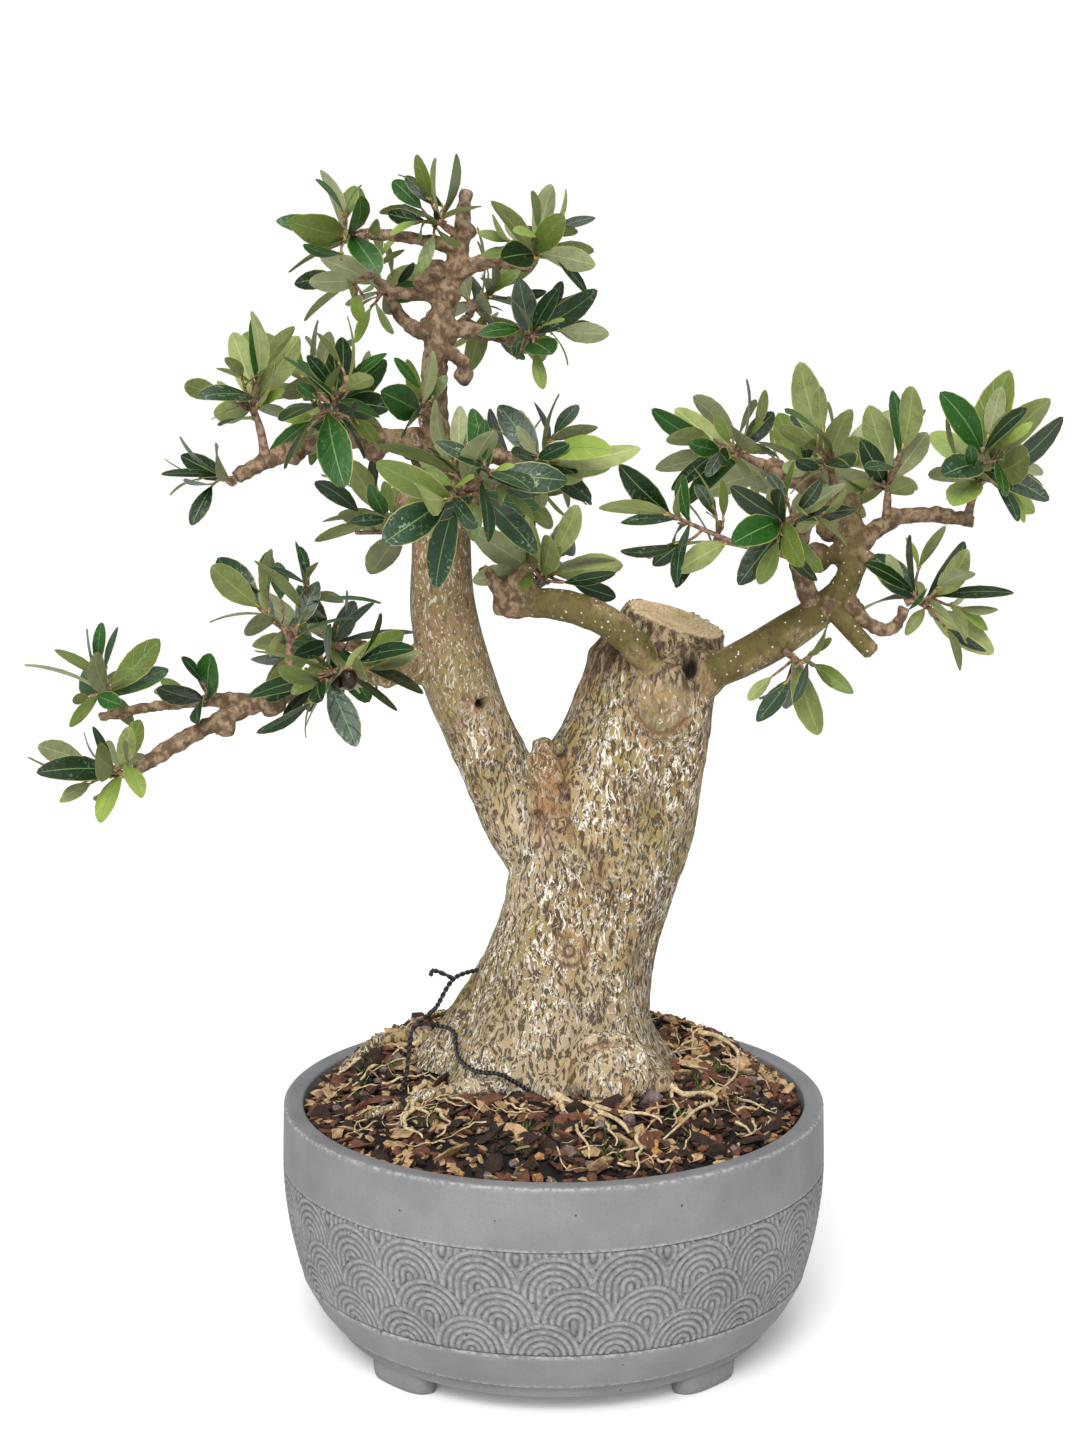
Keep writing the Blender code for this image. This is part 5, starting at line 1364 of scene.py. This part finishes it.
class BONSAI_OT_foliage(bpy.types.Operator):
    """Grow twigs, leaves and olives on the boughs' ends"""
    bl_idname = "bonsai.foliage"
    bl_label = "Foliage"

    def execute(self, context):
        look = context.scene.bonsai_foliage
        rods = limb_rods()
        rng = random.Random(71)
        blooms = ((look.top_1, 0.2), (look.top_2, 0.15), (look.top_3, 0.45), (look.top_4, 0.1),
                  (look.top_5, 0.0))
        tops = [leaf_material(f"leaf_upper_{index}", colour, shade(colour, 1.9), bloom, 0.4)
                for index, (colour, bloom) in enumerate(blooms)]
        unders = [leaf_material(f"leaf_under_{index}", colour, shade(colour, 0.75), 0.0, 0.62)
                  for index, colour in enumerate((look.under_1, look.under_2, look.under_3))]
        materials = [*tops, *unders, leaf_material("leaf_rib", look.rib, look.rib, 0.0, 0.5)]
        points, faces, slots, maps = [], [], [], []
        twigs, stalks, fruit = Heap(), Heap(), Heap()
        corners, parts = ball(3)
        for name, mass in MASSES.items():
            spray = Spray(name, rods)
            for start, end, radius, tip_radius, turn in spray.twigs:
                places = []
                sway = side_vector((end - start).normalized(), rng.uniform(0, 6.28)) * rng.uniform(0.3, 1.2)
                for step in range(8):
                    share = step / 7
                    size = radius + (tip_radius - radius) * share
                    knuckle = 1 + 0.22 * max(math.sin(share * 15 + turn), 0) ** 3
                    places.append((start.lerp(end, share) + sway * math.sin(math.pi * share), size * knuckle))
                twigs.tube(places, 7, turn)
            # each spray has its own few greens; sprays higher up get more of the olive and young greens,
            # painted light standing in for the fuller light on the upper crown
            light = 2 + 9 * max(0.0, min((mass.centre[2] - 400) / 90, 1.0))
            shades = rng.choices(range(5), (6, 6, 4, light, 0.35 * light), k=5)
            for index, leaf in enumerate(spray.leaves):
                young = leaf[3] < YOUNG_LEAF
                top = 3 + rng.randrange(2) if young and rng.random() < 0.75 else shades[index % 5]
                under = 5 + rng.randrange(3)
                shape, shape_faces, sides, places = leaf_shape(leaf, rng)
                first = len(points)
                points += [tuple(point) for point in shape]
                for face, side in zip(shape_faces, sides):
                    faces.append(tuple(first + corner for corner in face))
                    slots.append((top, under, len(materials) - 1)[side])
                    maps += [places[corner] for corner in face]
                base, along, _, length = leaf
                stalks.tube([(base - along * 0.6, 0.62), (base + along * length * 0.04, 0.5),
                             (base + along * length * 0.1, 0.42)], 5)
            for start, end, *_ in spray.twigs[1:1 + FRUITS.get(name, 0)]:
                middle = start.lerp(end, 0.5) - Vector((0, 0, FRUIT_RADIUS))
                fruit.shape([middle + Vector((corner.x * 0.93, corner.y * 0.93, corner.z * 1.08)) * FRUIT_RADIUS
                             for corner in corners], parts)
        leaves = piece_from("leaves", points, faces, materials, slots, maps)
        choose(leaves)
        bpy.ops.object.shade_smooth_by_angle(angle=math.radians(50))
        settle(leaves, "olive_leaf", *MASSES)
        green = twig_material("leaf_stalk", look.stalk, shade(look.stalk, 0.7))
        settle(stalks.piece("leaf_stalks", green), "olive_leaf")
        bark = twig_material("twig_bark", look.twig_light, look.twig_dark)
        settle(twigs.piece("twigs", bark), "twig_bark")
        # the skin of a ripe olive is tight and has a soft shine
        skin = twig_material("olive_skin", look.olive, shade(look.olive, 0.5))
        skin.node_tree.nodes["Principled BSDF"].inputs["Roughness"].default_value = 0.3
        settle(fruit.piece("olives", skin), "olive_leaf")
        return {"FINISHED"}


class BONSAI_OT_bowl(bpy.types.Operator):
    """Turn the bowl with its rim, feet and band of wave scales"""
    bl_idname = "bonsai.bowl"
    bl_label = "Bowl"

    def execute(self, context):
        look = context.scene.bonsai_bowl
        stoneware = stoneware_material(look)
        body = spin_profile("bowl_body", self.profile(), 192)
        body.data.materials.append(stoneware)
        feet = self.feet().piece("bowl_feet", stoneware)
        self.mark(body)
        self.mark(feet)
        band = self.band(look)
        band.data.materials.append(stoneware)
        settle(body, "stoneware", "bowl")
        settle(feet, "stoneware")
        settle(band, "stoneware")
        return {"FINISHED"}

    def profile(self):
        """Radius and level round the wall, from the middle of the inside to the middle of the underside."""
        levels = (FLOOR_HEIGHT, SHOULDER[1], BAND_BOTTOM[1], BAND_BELLY[1], BAND_TOP[1], 94)
        inside = [(inner_radius(level), level) for level in levels]
        mouth = inner_radius(RIM_HEIGHT)
        # both edges of the rim are rounded
        turns = (0.0, 0.5, 1.1, 1.57)
        rounding = [(RIM_EASE * (1 - math.cos(turn)), RIM_EASE * (1 - math.sin(turn))) for turn in turns]
        inner_edge = [(mouth + less, RIM_HEIGHT - more) for less, more in rounding]
        outer_edge = [(RIM_RADIUS - more, RIM_HEIGHT - less) for less, more in rounding]
        (top, top_level), (bottom, bottom_level), (edge, edge_level) = BAND_TOP, BAND_BOTTOM, EDGE
        upper = [(RIM_RADIUS, RIM_HEIGHT - 2.6), (RIM_RADIUS + 0.4, 92), (top, top_level + 1.8),
                 (top - 0.1, top_level + 0.4), (top - 0.6, top_level)]
        recess = [(top - BAND_CUT, top_level - 0.1), (BAND_BELLY[0] - BAND_CUT, BAND_BELLY[1]),
                  (bottom - BAND_CUT, bottom_level + 0.1)]
        lower = [(bottom - 0.6, bottom_level), (bottom - 0.1, bottom_level - 0.4),
                 (bottom - 0.3, bottom_level - 1.8), (111.6, 29), SHOULDER, (107.0, 20.5),
                 (edge + 1.7, edge_level + 2.2), (edge + 0.7, edge_level + 0.8)]
        under = [EDGE, (edge - 1, edge_level - 0.6), (FOOT_RING_RADIUS + 1, edge_level - 2),
                 (FOOT_RING_RADIUS, FOOT_HEIGHT + 0.5), (FOOT_RING_RADIUS - 1, FOOT_HEIGHT), (40, FOOT_HEIGHT),
                 (0, FOOT_HEIGHT)]
        return [(0, FLOOR_HEIGHT), *inside, *inner_edge, (RIM_RADIUS - 3, RIM_HEIGHT), *outer_edge, *upper,
                *recess, *lower, *under]

    def feet(self):
        """Four curved feet under the edge, rounded at their ends."""
        feet = Heap()
        centre = FOOT_RING_RADIUS - FOOT_DEPTH / 2
        for index in range(4):
            middle = math.radians(45 + index * 90)
            rings = []
            for step in range(-12, 13):
                place = step / 12
                half = max((1 - abs(place) ** 5) ** 0.5, 0.25) * FOOT_DEPTH / 2
                angle = middle + math.radians(FOOT_HALF_ANGLE) * place
                inner, outer = centre - half, centre + half
                corners = ((inner + 1.6, 0), (outer - 1.6, 0), (outer - 0.7, 0.7), (outer, 3), (outer + 0.4, 7),
                           (outer - 0.2, FOOT_HEIGHT + 2), (inner, FOOT_HEIGHT + 2), (inner + 0.6, 1))
                rings.append([polar(angle, radius, level) for radius, level in reversed(corners)])
            feet.rings(rings)
        return feet

    def mark(self, thing):
        """Mark the pale edges of a plain part of the bowl, partly wear and partly painted highlight, with no
        painted shade in grooves.
        """
        points = mesh_points(thing.data)
        radius = np.hypot(points[:, 0], points[:, 1])
        edges = ((RIM_RADIUS, RIM_HEIGHT), BAND_TOP, BAND_BOTTOM, EDGE)
        # partly wear, partly painted highlight: a thin pale line along the rounded edges of the rim, the band
        # and the base
        wear_and_highlight = np.maximum.reduce([1 - smooth_step(0.4, 1.6, np.hypot(radius - out, points[:, 2] - level))
                                  for out, level in edges])
        write_attribute(thing.data, "wear_and_highlight", wear_and_highlight * 0.6)
        write_attribute(thing.data, "groove_shade", np.zeros(len(points)))

    def band(self, look):
        """The recessed band as a closed ring with its scales in relief."""
        angles = np.arange(BAND_STEPS) * 2 * math.pi / BAND_STEPS
        shares = np.arange(BAND_LINES + 1) / BAND_LINES
        top, belly, bottom = (Vector(point) for point in (BAND_TOP, BAND_BELLY, BAND_BOTTOM))
        line = np.array([bend(top, belly, bottom, share) for share in shares])
        around = angles[None, :] * BAND_BELLY[0] + np.zeros((len(shares), 1))
        level = line[:, 1][:, None] + np.zeros((1, BAND_STEPS))
        height = wave_relief(around, level)
        fade = smooth_step(0, 0.02, shares) * (1 - smooth_step(0.98, 1, shares))
        front = line[:, 0][:, None] - BAND_FRONT + height * look.relief / MM * fade[:, None]
        back = line[:, 0][:, None] - BAND_BACK + np.zeros((1, BAND_STEPS))
        sides = [np.stack([radius * np.cos(angles), radius * np.sin(angles), level], axis=2)
                 for radius in (front, back)]
        # the front's rings from the top down, then the back's lowest and highest ring, close the band
        points = np.concatenate([sides[0], sides[1][[-1, 0]]])
        rings = len(points)
        faces = []
        for ring in range(rings):
            low, high = ring * BAND_STEPS, (ring + 1) % rings * BAND_STEPS
            for step in range(BAND_STEPS):
                after = (step + 1) % BAND_STEPS
                faces.append((low + step, high + step, high + after, low + after))
        band = piece_from("bowl_band", points, faces, [])
        # painted shade: darker down in the grooves between the raised arcs, and full on the two rings that
        # close the band behind
        write_attribute(band.data, "groove_shade", np.append((1 - height).ravel() ** 1.1, np.ones(2 * BAND_STEPS)))
        # pale crests of the scales: partly wear, partly painted highlight
        write_attribute(band.data, "wear_and_highlight", np.append((height ** 6).ravel() * 0.35, np.zeros(2 * BAND_STEPS)))
        return band


class BONSAI_OT_soil(bpy.types.Operator):
    """Fill the bowl with soil, bark chips, pebbles, moss and dry roots"""
    bl_idname = "bonsai.soil"
    bl_label = "Soil"

    def execute(self, context):
        look = context.scene.bonsai_soil
        settle(self.bed(look), "potting_soil", "soil")
        rng = random.Random(23)
        settle(self.chips(look, rng), "potting_soil")
        settle(self.moss(look, rng), "potting_soil")
        return {"FINISHED"}

    def bed(self, look):
        """The ground between the chips, in low crumbs."""
        wall = inner_radius(SOIL_EDGE) - 0.6
        profile = [(0, 60), (inner_radius(60) - 1, 60), (inner_radius(80) - 1, 80)]
        profile += [(wall * step / 64, soil_level(0, wall * step / 64)) for step in range(64, 0, -1)]
        bed = spin_profile("soil_bed", [*profile, (0, SOIL_SEAT)], 220)
        points = mesh_points(bed.data)
        distance = np.hypot(points[:, 0], points[:, 1])
        direction = np.arctan2(points[:, 1], points[:, 0])
        level = np.array([ground(turn, away) for turn, away in zip(direction, distance)])
        level += 1.3 * turbulence(points, 6, 1, 3) + 0.8 * turbulence(points, 2.5, 1, 9) - 0.6
        surface = points[:, 2] > 90
        points[:, 2] = np.where(surface, level, points[:, 2])
        bed.data.vertices.foreach_set("co", scene_places(points).ravel())
        bed.data.materials.append(earth_material("humus", look.humus))
        return bed

    def chips(self, look, rng):
        """Angular bark chips of three colours, and a few rounder pebbles of pumice and lava."""
        colours = {"bark_chip_dark": look.bark_1, "bark_chip_red": look.bark_2, "bark_chip_tan": look.bark_3,
                   "pumice": look.pumice, "lava": look.stone}
        chips = Heap()
        corners, parts = ball(1)
        for _ in range(look.chips):
            direction = rng.uniform(0, 2 * math.pi)
            distance = CHIP_REACH * math.sqrt(rng.uniform(0.1, 1))
            if distance < trunk_reach(direction, SOIL_SEAT + 1) - 3:
                continue
            kind = rng.choices(range(5), (10, 8, 6, 0.8, 0.9))[0]
            size = rng.uniform(1.2, 3.2) * (1.7 if rng.random() < 0.1 else 1)
            bark = kind < 3
            flat = rng.uniform(0.16, 0.5) if bark else rng.uniform(0.6, 0.9)
            long = rng.uniform(0.8, 2.1) if bark else rng.uniform(0.8, 1.2)
            tip = 1.1 if bark else 0.4
            turn = Matrix.Rotation(rng.uniform(0, 6.28), 3, "Z")
            turn = turn @ Matrix.Rotation(rng.uniform(-tip, tip), 3, "X")
            turn = turn @ Matrix.Rotation(rng.uniform(-0.5, 0.5) * tip, 3, "Y")
            centre = polar(direction, distance, ground(direction, distance) + size * rng.uniform(0.0, 0.55))
            shape = []
            for corner in corners:
                rough = Vector((corner.x * long * rng.uniform(0.6, 1.25), corner.y * rng.uniform(0.6, 1.25),
                                corner.z * flat * rng.uniform(0.6, 1.25)))
                shape.append(centre + turn @ rough * size)
            chips.shape(shape, parts, kind)
        piece = chips.piece("soil_chips", *(earth_material(name, colour) for name, colour in colours.items()))
        piece.data.polygons.foreach_set("use_smooth", np.zeros(len(piece.data.polygons), bool))
        return piece

    def moss(self, look, rng):
        """Small tufts of moss and pale dry roots on the soil."""
        tufts = Heap()
        for _ in range(46):
            direction, distance = rng.uniform(0, 6.28), rng.uniform(62, 100)
            for _ in range(16):
                angle, away = direction + rng.gauss(0, 0.035), distance + rng.gauss(0, 2.4)
                foot = polar(angle, away, ground(angle, away) + 0.2)
                lean = Vector((rng.uniform(-1, 1), rng.uniform(-1, 1), rng.uniform(1.0, 2.0))).normalized()
                tufts.tube([(foot, 0.7), (foot + lean * rng.uniform(2, 4), 0.12)], 3)
        for _ in range(130):
            direction, distance = rng.uniform(0, 6.28), rng.uniform(55, 98)
            thick = rng.choice((0.3, 0.45, 0.45, 0.8))
            heading, places = rng.uniform(0, 6.28), []
            for step in range(9):
                heading += rng.uniform(-0.5, 0.5)
                direction += math.cos(heading) * 2.6 / distance
                distance = min(distance + math.sin(heading) * 2.6, 101)
                level = ground(direction, distance) + 2.4 + rng.uniform(-0.8, 1.0)
                places.append((polar(direction, distance, level), thick * (1 - step / 11)))
            tufts.tube(places, 5, slot=1)
        for route, thick in FINE_ROOTS:
            places = []
            for step in range(25):
                share = step / 24
                waver = Vector((0.8 * math.sin(17 * share), 0, 0.6 * math.sin(11 * share)))
                radius = thick * (1 - 0.7 * share) * (1 + 0.15 * math.sin(31 * share))
                places.append((spline(route, share) + waver, radius))
            tufts.tube(places, 8, slot=1)
        return tufts.piece("moss_and_roots", earth_material("moss", look.moss, 2.0),
                           earth_material("dry_root", look.straw, 2.0))


class BONSAI_OT_wire(bpy.types.Operator):
    """Lay the twisted tie wire from the trunk's foot out over the soil, with its fork and tail"""
    bl_idname = "bonsai.wire"
    bl_label = "Tie wire"

    def execute(self, context):
        look = context.scene.bonsai_soil
        route = list(WIRE_START)
        for degrees, clearance, height in WIRE_ROUTE:
            direction, level = math.radians(degrees), SOIL_SEAT + height
            route.append(polar(direction, trunk_reach(direction, level) + clearance, level))
        strands = Heap()
        for line, twists in ((route, 30), (WIRE_FORK, 6), (WIRE_TAIL, 3)):
            steps = 10 * twists
            for turn in (0, math.pi):
                places = []
                for step in range(steps + 1):
                    share = step / steps
                    way = (spline(line, min(share + 0.01, 1)) - spline(line, max(share - 0.01, 0))).normalized()
                    aside = side_vector(way, turn + share * 2 * math.pi * twists) * STRAND_OFFSET
                    places.append((spline(line, share) + aside, STRAND_RADIUS))
                strands.tube(places, 8)
        # vinyl-coated wire: near black, smooth, with a dull shine along each strand
        material, tree, shader = new_material("coated_wire", 0.42, 1.5)
        finish(tree, shader, coats(tree, look.wire, (patches(tree, 3, 0.4, 0.7), shade(look.wire, 2.5))))
        settle(strands.piece("tie_wire_strands", material), "wire_coat", "tie_wire")
        return {"FINISHED"}


class BONSAI_OT_stage(bpy.types.Operator):
    """Set the floor, the lights and the camera"""
    bl_idname = "bonsai.stage"
    bl_label = "Stage"

    def execute(self, context):
        look = context.scene.bonsai_stage
        deselect()
        bpy.ops.mesh.primitive_plane_add(size=30, location=(0, 0, 0))
        floor = context.object
        floor.name = "floor"
        # pale matt backdrop paper, lit up a little so that it ends in no grey line
        material, _, shader = new_material("matt_paper", 0.9, 1.5)
        for socket, value in (("Base Color", look.floor), ("Specular IOR Level", 0.1),
                              ("Emission Color", look.floor), ("Emission Strength", 0.1)):
            shader.inputs[socket].default_value = value
        floor.data.materials.append(material)
        world = context.scene.world or bpy.data.worlds.new("studio")
        context.scene.world = world
        world.use_nodes = True
        sky = world.node_tree.nodes["Background"]
        sky.inputs["Color"].default_value = (1, 1, 1, 1)
        # the backdrop behind the floor is white, while the light from all round is softer
        seen = add(world.node_tree, "LightPath", output="Is Camera Ray")
        strength = add(world.node_tree, "MapRange", {0: seen, 3: look.ambient, 4: 1.05})
        world.node_tree.links.new(strength, sky.inputs["Strength"])
        bpy.ops.object.light_add(type="SUN", rotation=[math.radians(angle) for angle in SUN_TURN])
        sun = context.object
        sun.name = "soft_front"
        sun.data.angle = math.radians(SUN_SPREAD)
        sun.data.energy = look.sun
        for name, (place, size, power) in LAMPS.items():
            bpy.ops.object.light_add(type="AREA", location=place)
            lamp = context.object
            lamp.name = name
            lamp.data.size = size
            lamp.data.energy = power
            lamp.rotation_euler = (Vector(LAMP_AIM) - Vector(place)).to_track_quat("-Z", "Y").to_euler()
        bpy.ops.object.camera_add(location=scene_place(CAMERA_PLACE),
                                  rotation=(math.radians(90 - CAMERA_DOWN), 0, 0))
        camera = context.object
        camera.data.sensor_fit = "VERTICAL"
        camera.data.sensor_height = 36
        camera.data.lens = look.focal
        context.scene.camera = camera
        context.scene.view_settings.view_transform = "Standard"
        return {"FINISHED"}


class BONSAI_PT_panel(bpy.types.Panel):
    """Steps that make the olive bonsai"""
    bl_idname = "BONSAI_PT_panel"
    bl_label = "Olive Bonsai"
    bl_space_type = "VIEW_3D"
    bl_region_type = "UI"
    bl_category = "Bonsai"

    def draw(self, context):
        for operator in OPERATORS:
            self.layout.operator(operator.bl_idname)


OPERATORS = (BONSAI_OT_wood, BONSAI_OT_foliage, BONSAI_OT_bowl, BONSAI_OT_soil, BONSAI_OT_wire,
             BONSAI_OT_stage)
SETTINGS = {"bonsai_wood": BonsaiWoodSettings, "bonsai_foliage": BonsaiFoliageSettings,
            "bonsai_bowl": BonsaiBowlSettings, "bonsai_soil": BonsaiSoilSettings,
            "bonsai_stage": BonsaiStageSettings}


def register():
    """Add the settings, operators and panel."""
    for name, group in SETTINGS.items():
        bpy.utils.register_class(group)
        setattr(bpy.types.Scene, name, bpy.props.PointerProperty(type=group))
    for made in (*OPERATORS, BONSAI_PT_panel):
        bpy.utils.register_class(made)


def unregister():
    """Take the panel, operators and settings out again."""
    for made in (BONSAI_PT_panel, *reversed(OPERATORS)):
        bpy.utils.unregister_class(made)
    for name, group in SETTINGS.items():
        delattr(bpy.types.Scene, name)
        bpy.utils.unregister_class(group)


def main():
    """Make everything in order."""
    register()
    for operator in OPERATORS:
        group, name = operator.bl_idname.split(".")
        getattr(getattr(bpy.ops, group), name)()


if __name__ == "__main__":
    main()
